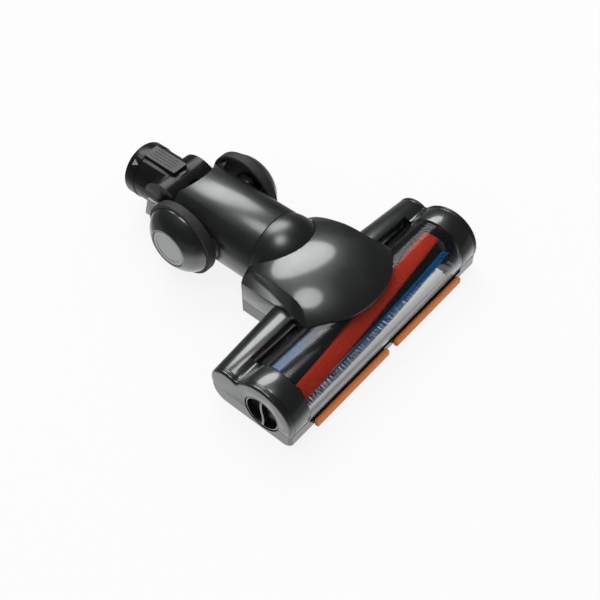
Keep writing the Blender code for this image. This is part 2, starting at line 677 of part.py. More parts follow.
def make_neck(parts, cutters, finish):
    shared = neck_cutters(cutters)
    slant = heel_cutter(cutters)
    side = NECK_R + OVER
    far = NECK_HEEL_Y + 2 * OVER
    rear_top = box("neck_top_end", (-side, TILT_Y - 0.006, NECK_SEAM_Z - OVER), (side, far, TOP_Z), cutters)
    below = box("below_seam", (-side, 0.0, -OVER), (side, far, NECK_SEAM_Z + GAP / 2), cutters)
    above = box("above_seam", (-side, 0.0, NECK_SEAM_Z - GAP / 2), (side, far, TOP_Z), cutters)
    upper = neck_tube("neck_upper_shell", parts, finish)
    cut(upper, below, *shared[:4], rear_top)
    lower = neck_tube("neck_lower_shell", parts, finish)
    cut(lower, *shared[:2])
    for side, sign in (("left", -1), ("right", 1)):
        join(lower, wheel_boss(side, sign, cutters), pin_boss(side, sign, cutters))
    cut(lower, above, slant, *shared[2:], tilt_pin_hole("tilt_pin_hole", TILT_PIN_R + GAP, cutters))
    return upper, lower


def wheel_boss(side, sign, cutters):
    """Round step on the neck that the wheel runs against, with a sleeve for the axle inside."""
    inner = NECK_FLAT_X - NECK_WALL
    outer = WHEEL_INNER_X - RUN
    steps = [(0.0, inner - 0.004), (AXLE_R + 0.0028, inner - 0.004), (AXLE_R + 0.0028, inner),
             (BOSS_R - 0.003, inner), (BOSS_R - 0.003, NECK_FLAT_X + 0.0004), (BOSS_R - 0.004, outer), (0.0, outer)]
    profile = [(radius, sign * along) for radius, along in steps]
    return turned("wheel_boss_" + side, profile, (0, WHEEL_Y, WHEEL_R), "X", cutters, steps=26)


def pin_boss(side, sign, cutters):
    inner = TUBE_R + RUN + 0.0002
    outer = NECK_FLAT_X + 0.0004
    return rod("pin_boss_" + side, (sign * (inner + outer) / 2, TILT_Y, TILT_Z), 0.0075, outer - inner,
               "X", cutters, steps=24)


def tilt_pin_hole(name, radius, cutters):
    return rod(name, (0, TILT_Y, TILT_Z), radius, 2 * (NECK_FLAT_X + OVER), "X", cutters, steps=24)


def make_tilt_pins(parts, finish):
    outer = NECK_FLAT_X - 0.001 - GAP
    inner = TUBE_R - TUBE_WALL - 0.0004
    for side, sign in (("left", -1), ("right", 1)):
        rod("tilt_pin_" + side, (sign * (inner + outer) / 2, TILT_Y, TILT_Z), TILT_PIN_R, outer - inner, "X",
            parts, finish, steps=14)


def make_swivel_seal(parts, finish):
    """Ring between the spigot and the neck shells."""
    inner = SPIGOT_R + GAP
    outer = NECK_R - NECK_WALL - GAP
    start = neck_start() + SEAL_INSET
    profile = [(inner, 0.0), (outer, 0.0), (outer, SEAL_LENGTH), (inner, SEAL_LENGTH)]
    return turned("swivel_seal", profile, (0, start, BALL_Z), "Y", parts, finish, 28)


def make_wheel(side, sign, parts, dark, rubber, pale, steel):
    centre = (0, WHEEL_Y, WHEEL_R)
    inner = WHEEL_INNER_X
    rim = WHEEL_R - 0.0024
    outer = inner + TYRE_WIDTH
    hub = [(AXLE_R + RUN, inner + 0.0005), (0.0075, inner + 0.0005), (0.0115, inner + 0.006),
           (rim - 0.004, inner + 0.005), (rim - 0.0028, inner + 0.0006), (rim, inner + 0.0006),
           (rim, outer + 0.0004), (DISC_R + 0.0022, CONE_TIP_X - 0.0004), (DISC_R + 0.0014, CONE_TIP_X),
           (DISC_R + GAP, CONE_TIP_X), (DISC_R + GAP, CONE_TIP_X - 0.0016), (AXLE_R + RUN, CONE_TIP_X - 0.0016)]
    turned("wheel_hub_" + side, [(r, sign * x) for r, x in hub], centre, "X", parts, dark, 24)
    seat = rim + GAP
    tyre = [(seat, inner), (WHEEL_R - 0.0012, inner), (WHEEL_R, inner + 0.0012), (WHEEL_R, outer - 0.0016),
            (WHEEL_R - 0.0008, outer - 0.0004), (WHEEL_R - 0.002, outer), (seat, outer)]
    turned("tyre_" + side, [(r, sign * x) for r, x in tyre], centre, "X", parts, rubber, 24)
    face = CONE_TIP_X - 0.0002
    disc = [(0.0, CONE_TIP_X - 0.0013), (DISC_R, CONE_TIP_X - 0.0013), (DISC_R, face - 0.0004),
            (DISC_R - 0.0004, face), (0.0, face)]
    turned("wheel_disc_" + side, [(r, sign * x) for r, x in disc], centre, "X", parts, pale, 24)
    start = NECK_FLAT_X - NECK_WALL - 0.006
    end = CONE_TIP_X - 0.0020
    head_r = AXLE_R + 0.0018
    axle = [(0.0, start), (head_r, start), (head_r, start + 0.0016), (AXLE_R, start + 0.0016), (AXLE_R, end),
            (0.0, end)]
    turned("axle_" + side, [(r, sign * x) for r, x in axle], centre, "X", parts, steel, 14)


def make_connector(parts, cutters, finish):
    """Black wand tube with a drum that turns on two pins between the neck's arms."""
    axis_z = TILT_Z
    bore = TUBE_R - TUBE_WALL
    end = TUBE_END_Y - TILT_Y
    start = TUBE_FRONT_Y - TILT_Y
    profile = [(bore, start), (TUBE_R - COLLAR_STEP, start), (TUBE_R - COLLAR_STEP, end - 0.0100),
               (TUBE_R, end - 0.0096), (TUBE_R, end - 0.0010), (TUBE_R - 0.0010, end), (bore + 0.0012, end),
               (bore, end - 0.0012)]
    tube = turned("wand_connector", profile, (0, TILT_Y, axis_z), "Y", parts, finish, 28)
    drum = rod("connector_drum", (0, TILT_Y, axis_z), TUBE_R - 2 * COLLAR_STEP, 2 * DRUM_HALF_WIDTH, "X",
               cutters)
    hump = box("connector_hump", (-HUMP_HALF_WIDTH, TUBE_FRONT_Y + 0.004, axis_z + bore + 0.002),
               (HUMP_HALF_WIDTH, HUMP_END_Y, axis_z + TUBE_R + HUMP_HEIGHT), cutters)
    passage = rod("connector_passage", (0, TILT_Y + 0.012, axis_z), bore + GAP, 0.080, "Y", cutters)
    pocket = contact_pocket("contact_pocket", 0.0, cutters)
    join(tube, drum, hump)
    cut(tube, passage, tilt_pin_hole("connector_pin_hole", TILT_PIN_R + RUN, cutters), pocket)
    return tube


def contact_pocket(name, inset, group, finish=None):
    """Slot in the end of the tube wall, under the hump, that takes the contact block."""
    middle = TILT_Z + TUBE_R - TUBE_WALL / 2
    back = TUBE_END_Y + (OVER if inset == 0.0 else -0.0008)
    return box(name, (-CONTACT_HALF_WIDTH + inset, TUBE_END_Y - CONTACT_DEPTH + inset, middle - 0.0009 + inset),
               (CONTACT_HALF_WIDTH - inset, back, middle + 0.0009 - inset), group, finish)


def make_contacts(parts, finish, brass):
    block = contact_pocket("contact_block", GAP, parts, finish)
    middle = TILT_Z + TUBE_R - TUBE_WALL / 2
    for side, sign in (("left", -1), ("right", 1)):
        rod("contact_pin_" + side, (sign * 0.0024, TUBE_END_Y - 0.00025, middle), 0.0005, 0.0005, "Y", parts,
            brass, steps=12)
    return block


def brush_point(x, angle, radius):
    """A point on the bar, angle in degrees up from the front."""
    turn = math.radians(angle)
    return (x, -radius * math.cos(turn), BRUSH_Z + radius * math.sin(turn))


def twisted_strip(name, start_angle, width, inner, outer, parts, finish, teeth=0):
    """A strip wound along the bar; with teeth its outer edge is cut into tufts."""
    half = BRUSH_HALF_LENGTH - 0.001
    columns = []
    if teeth:
        pitch = 2 * half / teeth
        root = inner + (outer - inner) * 0.35
        for index in range(teeth):
            left = -half + pitch * index
            for share, top in ((0.0, root), (0.12, outer), (0.68, outer), (0.80, root)):
                columns.append((left + pitch * share, top))
        columns.append((half, root))
        angles = (0.0, 1.0)
    else:
        columns = [(-half + 2 * half * index / BAND_STEPS, outer) for index in range(BAND_STEPS + 1)]
        angles = (0.0, 0.25, 0.5, 0.75, 1.0)
    rings = []
    for x, top in columns:
        lean = start_angle + TWIST * (x + BRUSH_HALF_LENGTH) / (2 * BRUSH_HALF_LENGTH) - width / 2
        ring = [brush_point(x, lean + width * share, inner) for share in angles]
        ring += [brush_point(x, lean + width * share, top) for share in reversed(angles)]
        rings.append(ring)
    return loft(name, rings, parts, finish)


def make_brush(parts, dark, red, blue, pale):
    centre = (0, 0, BRUSH_Z)
    shaft = 0.0030
    left = -(HALF - LOCK_LENGTH + 0.0052)
    right = HALF - CAP_THICKNESS - 0.0008
    half = BRUSH_HALF_LENGTH
    core = [(0.0, left), (shaft, left), (shaft, -half), (CORE_R, -half), (CORE_R, half), (shaft, half),
            (shaft, right), (0.0, right)]
    turned("brush_core", core, centre, "X", parts, dark, 20)
    for index in range(2):
        angle = BAND_START + 180.0 * index
        twisted_strip(f"soft_band_{index + 1}", angle, BAND_ANGLE, CORE_R + GAP, BRUSH_TIP_R, parts, red)
        twisted_strip(f"bristle_comb_{index + 1}", angle - COMB_LEAD, COMB_THICKNESS, CORE_R + GAP, BRUSH_TIP_R,
                      parts, blue, COMB_TEETH)
    flange = BELT_WIDTH / 2 + GAP
    rim = BRUSH_PULLEY_R + 0.0010
    width = flange + 0.0007
    pulley = [(shaft + GAP, -width), (rim, -width), (rim, -flange), (BRUSH_PULLEY_R, -flange),
              (BRUSH_PULLEY_R, flange), (rim, flange), (rim, width), (shaft + GAP, width)]
    turned("drive_pulley", pulley, (BELT_X, 0, BRUSH_Z), "X", parts, pale, 18)
    return shaft


def make_bearings(parts, finish, shaft):
    """Bushes at both ends of the bar: one in the lock plug, one in the right end cap."""
    bush = [(shaft + 0.0001, 0.0), (BUSH_R, 0.0), (BUSH_R, BUSH_LENGTH), (shaft + 0.0001, BUSH_LENGTH)]
    turned("lock_bush", bush, (-HALF + LOCK_LENGTH - 0.0054, 0, BRUSH_Z), "X", parts, finish, 16)
    turned("drive_bush", bush, (HALF - CAP_THICKNESS - 0.0054, 0, BRUSH_Z), "X", parts, finish, 16)


def make_lock(parts, cutters, finish):
    """Plug that turns in the left end cap: two pockets leave a grip bar across its face."""
    face = -HALF + 0.0004
    inner = -HALF + LOCK_LENGTH
    length = inner - face
    profile = [(0.0, 0.0), (LOCK_R - 0.0010, 0.0), (LOCK_R, 0.0008), (LOCK_R, 0.0070), (0.0095, 0.0082),
               (0.0095, length), (BUSH_SEAT_R, length), (BUSH_SEAT_R, length - 0.0058), (0.0, length - 0.0058)]
    lock = turned("brush_lock", profile, (face, 0, BRUSH_Z), "X", parts, finish, 28)
    rim = LOCK_R - 0.0016
    for side, sign in (("front", -1), ("rear", 1)):
        start = math.degrees(math.asin(LOCK_BAR / rim))
        outline = arc((0.0, 0.0), rim, -90 + start, 90 - start, 10)
        outline = [(sign * y, BRUSH_Z + z) for y, z in outline]
        pocket = plate("lock_pocket_" + side, outline, face - OVER, face + LOCK_POCKET, "X", cutters)
        cut(lock, pocket)
    return lock


def make_motor(parts, dark, steel):
    centre_y = WING_BORE_Y
    can_start = BAY_HALF_WIDTH + 0.0055
    can_end = BELT_X - BELT_WIDTH / 2 - 0.0060
    length = can_end - can_start
    radius = WING_BORE_R - GAP
    can = [(0.0, 0.0), (radius - 0.001, 0.0), (radius, 0.001), (radius, length - 0.001),
           (radius - 0.001, length), (0.0045, length), (0.0045, length - 0.002), (0.0, length - 0.002)]
    turned("motor_can", can, (can_start, centre_y, LOBE_Z), "X", parts, steel, 24)
    flange = BELT_WIDTH / 2 + GAP
    shaft = 0.0016
    low = can_end - 0.0016
    high = BELT_X + flange + 0.0008
    rim = MOTOR_PULLEY_R + 0.0008
    rotor = [(0.0, low), (shaft, low), (shaft, BELT_X - flange - 0.0006), (rim, BELT_X - flange - 0.0006),
             (rim, BELT_X - flange), (MOTOR_PULLEY_R, BELT_X - flange), (MOTOR_PULLEY_R, BELT_X + flange),
             (rim, BELT_X + flange), (rim, high), (0.0, high)]
    turned("motor_pulley", rotor, (0, centre_y, LOBE_Z), "X", parts, dark, 18)
    return centre_y


def belt_outline(grow, centre_y):
    """Hull round both pulleys."""
    big = BRUSH_PULLEY_R + grow
    small = MOTOR_PULLEY_R + grow
    rise = LOBE_Z - BRUSH_Z
    reach = math.hypot(centre_y, rise)
    tilt = math.degrees(math.atan2(rise, centre_y))
    spread = math.degrees(math.acos((big - small) / reach))
    points = arc((0.0, BRUSH_Z), big, tilt + spread, tilt + 360 - spread, 14)
    points += arc((centre_y, LOBE_Z), small, tilt - spread, tilt + spread, 6)
    return points


def make_belt(parts, cutters, finish, centre_y):
    half = BELT_WIDTH / 2
    belt = plate("drive_belt", belt_outline(GAP + BELT_THICKNESS, centre_y), BELT_X - half, BELT_X + half, "X",
                 parts, finish)
    inside = plate("belt_inside", belt_outline(GAP, centre_y), BELT_X - half - OVER, BELT_X + half + OVER, "X",
                   cutters)
    cut(belt, inside)
    return belt


def bearing_seat(cutters):
    """Sleeve on the right end cap that holds the drive bush."""
    end = HALF - CAP_THICKNESS + SLEEVE_ROOT
    start = end - BUSH_LENGTH - 0.0016
    profile = [(BUSH_SEAT_R, start), (0.0088, start), (0.0088, end), (BUSH_SEAT_R, end)]
    return turned("bearing_sleeve", profile, (0, 0, BRUSH_Z), "X", cutters, steps=28)


BODIES = {
    "brush": ((0.0, 0.0, BRUSH_Z), ["brush_core", "soft_band_1", "soft_band_2", "bristle_comb_1",
                                    "bristle_comb_2", "drive_pulley"]),
    "rotor": ((0.0, WING_BORE_Y, LOBE_Z), ["motor_pulley"]),
    "lock": ((-HALF, 0.0, BRUSH_Z), ["brush_lock", "lock_bush"]),
    "elbow": ((0.0, BALL_Y, BALL_Z), ["elbow_ball"]),
    "neck": ((0.0, WHEEL_Y, BALL_Z), ["neck_upper_shell", "neck_lower_shell", "swivel_seal", "axle_left",
                                      "axle_right", "tilt_pin_left", "tilt_pin_right"]),
    "wheel_left": ((0.0, WHEEL_Y, WHEEL_R), ["wheel_hub_left", "tyre_left", "wheel_disc_left"]),
    "wheel_right": ((0.0, WHEEL_Y, WHEEL_R), ["wheel_hub_right", "tyre_right", "wheel_disc_right"]),
    "connector": ((0.0, TILT_Y, TILT_Z), ["wand_connector", "contact_block", "contact_pin_left",
                                                  "contact_pin_right"]),
}


def hang(item, holder):
    """Parent an object to an empty without moving it."""
    item.parent = holder
    item.matrix_local = Matrix.Translation(-holder.matrix_world.translation) @ item.matrix_world


def assemble(parts, cutters):
    """Put each moving piece under an empty on its joint axis, and all of them under one frame."""
    middle_y = (FRONT_LIP_Y - GAP - GLIDE_DEPTH + TUBE_END_Y) / 2
    owner = {}
    holders = []
    for name, (place, nodes) in BODIES.items():
        holder = bpy.data.objects.new("axis_" + name, None)
        holder.location = place
        holder.empty_display_size = 0.02
        parts.objects.link(holder)
        holders.append(holder)
        for node in nodes:
            owner[node] = holder
    bpy.context.view_layer.update()
    for item in list(parts.objects) + list(cutters.objects):
        if item.name in owner:
            hang(item, owner[item.name])
    frame = bpy.data.objects.new("nozzle_frame", None)
    parts.objects.link(frame)
    bpy.context.view_layer.update()
    for item in list(parts.objects) + list(cutters.objects):
        if item.parent is None and item is not frame:
            item.parent = frame
    frame.location = (0.0, -middle_y, 0.0)
    bpy.context.view_layer.update()


def build():
    clear_scene()
    parts = collection("vacuum_floor_nozzle")
    cutters = collection("cutters")
    gunmetal = material("gunmetal_plastic", (0.075, 0.078, 0.080), 0.22, 0.35)
    black = material("black_plastic", (0.020, 0.020, 0.021), 0.38)
    clear = material("smoked_window", (0.30, 0.32, 0.34), 0.05, alpha=0.35)
    rubber = material("tyre_rubber", (0.035, 0.035, 0.035), 0.55)
    orange = material("orange_strip", (0.78, 0.22, 0.04), 0.60)
    red = material("red_nylon", (0.55, 0.03, 0.01), 0.80)
    blue = material("blue_bristle", (0.02, 0.25, 0.55), 0.60)
    steel = material("steel", (0.55, 0.55, 0.56), 0.30, 1.0)
    brass = material("brass", (0.70, 0.50, 0.20), 0.30, 1.0)
    pale = material("grey_disc", (0.33, 0.34, 0.34), 0.30, 0.2)

    make_upper_shell(parts, cutters, gunmetal)
    make_base_plate(parts, cutters, gunmetal)
    make_screws(parts, steel)
    make_glide_strips(parts, orange)
    strip_seat("rear_felt_strip", -GAP, parts, orange, low=0.0)
    make_window(parts, clear)
    make_window_seal(parts, black)
    make_end_caps(parts, cutters, gunmetal)
    join(bpy.data.objects["end_cap_right"], bearing_seat(cutters))
    make_dome(parts, cutters, gunmetal)
    make_elbow(parts, cutters, gunmetal)
    make_pivot_pins(parts, steel)
    make_neck(parts, cutters, gunmetal)
    make_swivel_seal(parts, black)
    make_tilt_pins(parts, steel)
    make_wheel("left", -1, parts, gunmetal, rubber, pale, steel)
    make_wheel("right", 1, parts, gunmetal, rubber, pale, steel)
    make_connector(parts, cutters, black)
    make_contacts(parts, black, brass)
    shaft = make_brush(parts, black, red, blue, pale)
    make_bearings(parts, brass, shaft)
    make_lock(parts, cutters, gunmetal)
    motor_y = make_motor(parts, black, steel)
    make_belt(parts, cutters, black, motor_y)
    assemble(parts, cutters)


build()
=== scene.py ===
"""Looks of the vacuum floor nozzle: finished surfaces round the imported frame, studio and camera.

Metres, in the frame's own axes: X along the brush bar, -Y the front, +Z up.
"""
import math
import random

import bmesh
import bpy
from mathutils import Matrix, Vector


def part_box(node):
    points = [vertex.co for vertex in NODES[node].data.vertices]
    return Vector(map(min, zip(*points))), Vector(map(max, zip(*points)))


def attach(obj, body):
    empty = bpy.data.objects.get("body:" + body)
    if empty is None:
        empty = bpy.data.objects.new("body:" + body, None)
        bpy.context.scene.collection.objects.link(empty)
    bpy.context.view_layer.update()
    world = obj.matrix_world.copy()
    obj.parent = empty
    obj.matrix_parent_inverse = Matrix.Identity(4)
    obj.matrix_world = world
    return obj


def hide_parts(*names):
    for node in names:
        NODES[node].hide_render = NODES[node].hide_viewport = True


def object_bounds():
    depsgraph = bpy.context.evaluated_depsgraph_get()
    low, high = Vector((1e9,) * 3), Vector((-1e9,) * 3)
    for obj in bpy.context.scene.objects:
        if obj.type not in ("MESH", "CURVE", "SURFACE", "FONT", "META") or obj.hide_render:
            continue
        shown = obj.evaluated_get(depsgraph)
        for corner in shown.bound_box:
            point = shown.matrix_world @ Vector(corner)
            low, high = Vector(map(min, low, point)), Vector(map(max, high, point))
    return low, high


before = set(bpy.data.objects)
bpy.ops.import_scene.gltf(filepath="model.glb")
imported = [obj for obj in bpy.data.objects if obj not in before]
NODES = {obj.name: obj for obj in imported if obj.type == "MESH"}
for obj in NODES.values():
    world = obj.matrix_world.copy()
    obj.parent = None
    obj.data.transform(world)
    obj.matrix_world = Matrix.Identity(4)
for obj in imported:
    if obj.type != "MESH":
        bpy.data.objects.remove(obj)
CAD_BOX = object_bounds()

GAP = 0.0003            # between pieces that touch
RUN = 0.0006            # between pieces that turn past each other
OVER = 0.002            # how far a cutter reaches past what it cuts
SIDES = (("left", -1), ("right", 1))

# Cutters that only have to pass the whole piece reach these
CLEAR_FRONT_Y = -0.040
CLEAR_REAR_Y = 0.200
CLEAR_NECK_X = 0.040
CLEAR_WHEEL_X = 0.060
CLEAR_Z = 0.070

# The brush axis gives the place of the whole head
CORE_LOW, CORE_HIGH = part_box("brush_core")
BRUSH_Y = (CORE_LOW.y + CORE_HIGH.y) / 2
BRUSH_Z = (CORE_LOW.z + CORE_HIGH.z) / 2
BRUSH_CENTRE = (0, 0, BRUSH_Z)          # in the head's own frame, like all below
HALF = CAD_BOX[1][0]

# Head, measured from the brush axis in Y
CAP_THICKNESS = 0.0042
CAP_EDGE = 0.0022
CAP_FINE_EDGE = 0.0002
CAP_GROOVES = (0.0023, 0.0032)
CAP_GROOVE_HALF = 0.0003
CAP_GROOVE_DEPTH = 0.00035
CAP_SQUEEZE = 0.75      # the cap's rounding takes this share of its height along X
SLEEVE_BORE_R = 0.0067
SLEEVE_R = 0.0088
SLEEVE_LENGTH = 0.0066
SLEEVE_BITE = 0.0010
SEAM_Z = 0.0137
BARREL_R = 0.0250
BORE_R = 0.0212
LOBE_Y_END = 0.0305
LOBE_R_END = 0.0150
LOBE_Y_MID = 0.0320
LOBE_R_MID = 0.0180
LOBE_Z = 0.0192
LOBE_OVERRUN = 1.2      # the wing's taper goes on to this share of its length
WING_BORE_R = 0.0088
WING_BORE_Y = 0.0353
WING_WALL = 0.0020      # left at each end of the hollow wing
SECTION_LENGTH = 0.0150
SLOT_FRONT_Y = 0.0150
SLOT_REAR_Y = 0.0270
SLOT_FLOOR_Z = 0.0220
SLOT_INSET = 0.0015     # from the window's end
SLOT_BITE = 0.0010      # into the bay's wall
SECTION_X = HALF - CAP_THICKNESS - GAP
WINDOW_X = SECTION_X - SECTION_LENGTH
WINDOW_WALL = 0.0020
WINDOW_FRONT_Z = 0.0114
WINDOW_REAR_Z = 0.0145
WINDOW_FOOT_Z = 0.0050
WINDOW_EDGE = 0.0003
STRIP_TOE = 0.0014
STRIP_EDGE = 0.0007
FELT_EDGE = 0.0006

# Centre bay, ball and dome
BAY_HALF_WIDTH = 0.0395
BAY_FRONT_Y = 0.0355
BAY_REAR_Y = 0.0770
BAY_TOP_Z = 0.0316
POD_BITE = 0.0100       # how far the bay's block reaches into the barrel
BALL_Y = 0.0712
BALL_Z = 0.0320
BALL_CENTRE = (0, BALL_Y, BALL_Z)
BALL_R = 0.0310
BALL_WALL = 0.0026
BALL_MOUTH_R = 0.0185
MOUTH_CHAMFER = 0.0010
DUCT_R = 0.0150
DUCT_START_Y = 0.0075
DUCT_END_Y = 0.0430
DUCT_DROP = 0.0010      # below the ball's centre
DOME_EDGE_Z = 0.0450
DOME_WIDE = 0.0470
DOME_NARROW = 0.0335
DOME_FRONT_Y = -0.0098
DOME_CORNER_Y = 0.0080
DOME_FRONT_DROP = 0.0138
DOME_CHORD_CUT = 0.0070 # the front arc ends this far inside the sides
DOME_CORNER_RUN = 0.0080
DOME_CORNER_SWELL = 0.0005
DOME_TOP = 0.0300
DOME_CENTRE_Y = 0.0360
DOME_CENTRE_Z = 0.0280
DOME_RX = 0.0600
DOME_RY = 0.0560
DOME_WALL = 0.0026
DOME_EDGE = 0.0012
DOME_BLOCK_TOP = 0.0660
FLANK_FULL_Z = 0.0360   # the flanks reach their full width here
FLANK_TURN_Z = 0.0420   # and slope in again from here up to the crown
FLANK_SLOPE = 8.0
FLANK_START_X = 0.0200  # the slope fades in from here outwards
FLANK_FADE = 0.0180
CORNER_SLOPE = 19.0
CORNER_END_Y = 0.0450   # the corners' steeper slope fades in from here to the front
CORNER_FADE = 0.0290
PIN_R = 0.0030
PIN_BITE = 0.0020
EAR_R = 0.0052
EAR_LENGTH = 0.0040
EAR_WALL = 0.0006       # past the pivot pin's end
PITCH_UP = 30.0

# Neck, wheels and connector
NECK_R = 0.0300
NECK_WALL = 0.0026
NECK_SEAM_Z = 0.0390
NECK_RIM = 0.0007
NECK_EDGE = 0.0005
SPIGOT_R = 0.0250
SPIGOT_LENGTH = 0.0130
SPIGOT_WALL = 0.0025
NECK_HEEL_Y = 0.1930
NECK_ARM_Y = 0.1810
NECK_TOP_SHORT = 0.0165 # the upper shell ends this far before the tilt pins
NECK_FLAT_X = 0.0278
FLAT_FRONT_Y = 0.1080
FLAT_STEP = 0.0004      # bosses stand this far off the neck's flats
WHEEL_Y = 0.1400
WHEEL_R = 0.0300
AXLE_CENTRE = (0, WHEEL_Y, WHEEL_R)
WHEEL_INNER_X = 0.0298
AXLE_R = 0.0032
TYRE_WIDTH = 0.0078
TYRE_DEPTH = 0.0024
TYRE_EDGE = 0.0012
# inner side of the hub: radius or distance in from the rim, and depth behind the wheel's inner side
HUB_INSIDE = ((AXLE_R + RUN, 0.0005), (0.0075, 0.0005), (0.0080, 0.0010), (0.0115, 0.0060))
HUB_RIM = ((0.0040, 0.0050), (0.0028, 0.0010), (0.0024, 0.0006), (0.0, 0.0006))
CONE_TIP_X = 0.0490
CONE_EDGE = 0.0008
CONE_STEP = 0.0004
CONE_BULGE = 0.0009
DISC_R = 0.0150
DISC_LIP = 0.0022
DISC_RIM_OUTER = 0.0016
DISC_RIM_INNER = 0.0012
DISC_EDGE = 0.0005
DISC_RING = 0.0030
DISC_DISH = 0.0004
DISC_SINK = 0.0002
DISC_BED = 0.0016       # depth of the round bed that the disc lies in
BOSS_R = 0.0250
BOSS_STEPS = (0.0030, 0.0034, 0.0050, 0.0053)
AXLE_SLEEVE_WALL = 0.0028
AXLE_SLEEVE_LENGTH = 0.0040
TILT_Y = 0.1720
TILT_Z = BALL_Z - 0.001
TILT_CENTRE = (0, TILT_Y, TILT_Z)
TILT_PIN_R = PIN_R + 0.0005
PIN_BOSS_R = 0.0075
PIN_BOSS_GAP = 0.0002
TUBE_R = 0.0214
TUBE_WALL = 0.0042
TUBE_FRONT_Y = 0.1685
TUBE_END_Y = 0.2140
COLLAR_STEP = 0.0006
COLLAR_LENGTH = 0.0100
COLLAR_SLOPE = 0.0004
MOUTH_EDGE = 0.0010
BORE_EDGE = 0.0012
PASSAGE_LENGTH = 0.0800
PASSAGE_SHIFT = 0.0120
TUBE_EDGE = 0.0004
DRUM_HALF_WIDTH = 0.0203
HUMP_HALF_WIDTH = 0.0065
HUMP_HEIGHT = 0.0018
HUMP_START = 0.0040     # from the tube's front
HUMP_END_Y = 0.2040
HUMP_LINES = 4
HUMP_LINE_START = 0.0090
HUMP_LINE_END = 0.0040
HUMP_LINE_HALF = 0.0002
HUMP_LINE_DEPTH = 0.0003
ARROW_Y = 0.2098
ARROW_LENGTH = 0.0052
ARROW_ANGLE = 38.0
ARROW_SPREAD = 7.0
ARROW_SINK = 0.0004
ARROW_RISE = 0.00015

# Brush bar and lock
BRUSH_HALF_LENGTH = 0.0815
CORE_R = 0.0118
CORE_EDGE = 0.0008
SHAFT_R = 0.0030
SHAFT_EDGE = 0.0004
BRUSH_TIP_R = 0.0183
BAND_ANGLE = 46.0
BAND_START = 32.0
TWIST = 62.0
COMB_LEAD = 62.0
COMB_TEETH = 54
COMB_THICKNESS = 5.0
COMB_ROOT_HEIGHT = 0.0016
COMB_TAPER = 0.8
TUFT_SPREAD = 0.36      # share of a tuft's pitch, each way
TUFT_ACROSS = 0.42      # share of the comb's thickness, each way
TUFT_SPLAY = 0.35
TUFT_GATHER = 0.7
BRISTLE_ROOT = 0.0010
BRISTLE_SHORT = 0.0006
PILE_HALF_LENGTH = BRUSH_HALF_LENGTH - 0.0010
FIBRE_ROOT = 0.0030
FIBRE_SHORT = 0.0007
FIBRE_SWAY = 0.0003
FIBRE_LEAN = 3.0
SPIKE_TAPER = 0.6
PILE_LOW = 0.0009       # how far the band's body stays below the tips
PILE_SHOULDER = 0.0022
PILE_ROUGH = 0.00022
LOCK_R = 0.0145
LOCK_LENGTH = 0.0160
LOCK_POCKET = 0.0045
LOCK_BAR = 0.0009
LOCK_BOW = 0.0008
LOCK_SINK = 0.0004
LOCK_RIM = 0.0016
LOCK_EDGE = 0.0003
LOCK_ROUND = ((0.0010, 0.0), (0.0003, 0.0002), (0.0, 0.0008))   # in from the lock's edge, and depth
LOCK_HEAD_LENGTH = 0.0070
LOCK_SHOULDER = 0.0012
LOCK_STEM_R = 0.0095
LOCK_BORE_R = 0.0067
LOCK_BORE_DEPTH = 0.0058

# Fineness of what this script models
ROUND = 96
FINE_ARC = 40
VALLEY_STEPS = 2        # how many steps of the barrel's arc the soft valley behind it takes
TURN_STEPS = 128
DOME_LEVELS = 34
SHIELD_FRONT_STEPS = 60
SHIELD_CORNER_STEPS = 20
SHIELD_SIDE_STEPS = 16
CONE_STEPS = 16
BAR_STEPS = 12
CAP_STEPS = 6
BAND_COLUMNS = 260
BAND_ROWS = 18
BAND_FIBRES = 9000
FIBRE_R = 0.00009
COMB_COLUMNS = 120
TUFT_BRISTLES = 34
BRISTLE_R = 0.00013
EDGE = 0.00045
CORNER_SHARE = 0.3      # a round corner's middle point lies this share of its size inside
NEAR = 0.0001
BRISTLE_SEED = 11
NOISE_LOW, NOISE_HIGH = 0.3, 0.7         # the part of a noise that is used

# Window: clear where it faces the eye, denser at its edges, with a painted pale reflection of the floor low
# on its front
FACING_BLEND = 0.35
EDGE_COVER = (0.21, 0.60, 0.25, 0.97)   # cover at two values of Facing, and those values
PAINTED_REFLECTION_COVER = 0.42
PAINTED_REFLECTION_COLOUR = (0.36, 0.42, 0.48)
PAINTED_REFLECTION_Y = (-0.016, -0.006)               # from the brush axis, full and none
PAINTED_REFLECTION_Z = (0.016, 0.030)                 # full and none

# Camera, worked out from the photograph
CAMERA_FROM_BRUSH = Vector((-0.3562, -0.2458, 0.5603))
CAMERA_RIGHT = Vector((0.6472, -0.7623, 0.0))
CAMERA_UP = Vector((0.5886, 0.4997, 0.6355))
LENS = 59.75
SENSOR = 36.0
CLIP_START = 0.01

# Studio: each soft box lies in the direction that its reflection in the photograph gives
AIM = Vector((0.0, 0.0, 0.03))
SOFT_BOXES = [
    # name, direction from the object, distance, width, height, watts
    ("box_rear_right", Vector((0.338, 0.589, 0.747)), 4.0, 3.30, 2.25, 76.0),
    ("box_top_left", Vector((-0.13, 0.09, 0.985)), 4.0, 1.70, 1.75, 29.0),
]

# The floor is white to the camera. In the object's gloss it is pale where a ray meets it steeply and
# dark where a ray grazes it, like a glossy sheet under a dark studio
FLOOR_SIZE = 6.0
FLOOR_SHADE = 0.86
FLOOR_ROUGH = 0.9
FLOOR_GLOW = 0.86
GLOSS_PALE = 0.95
GLOSS_DARK = 0.04
FLAT_RAY = math.sin(math.radians(20))
STEEP_RAY = math.sin(math.radians(47))

# World: white behind the floor for the camera, an unlit studio in reflections, an even fill elsewhere
WORLD_FILL = 0.52
STUDIO_DARK = 0.035


def new_object(name, mesh):
    item = bpy.data.objects.new(name, mesh)
    bpy.context.scene.collection.objects.link(item)
    return item


def smooth(mesh, angle=32):
    mesh.shade_smooth()
    mesh.set_sharp_from_angle(angle=math.radians(angle))


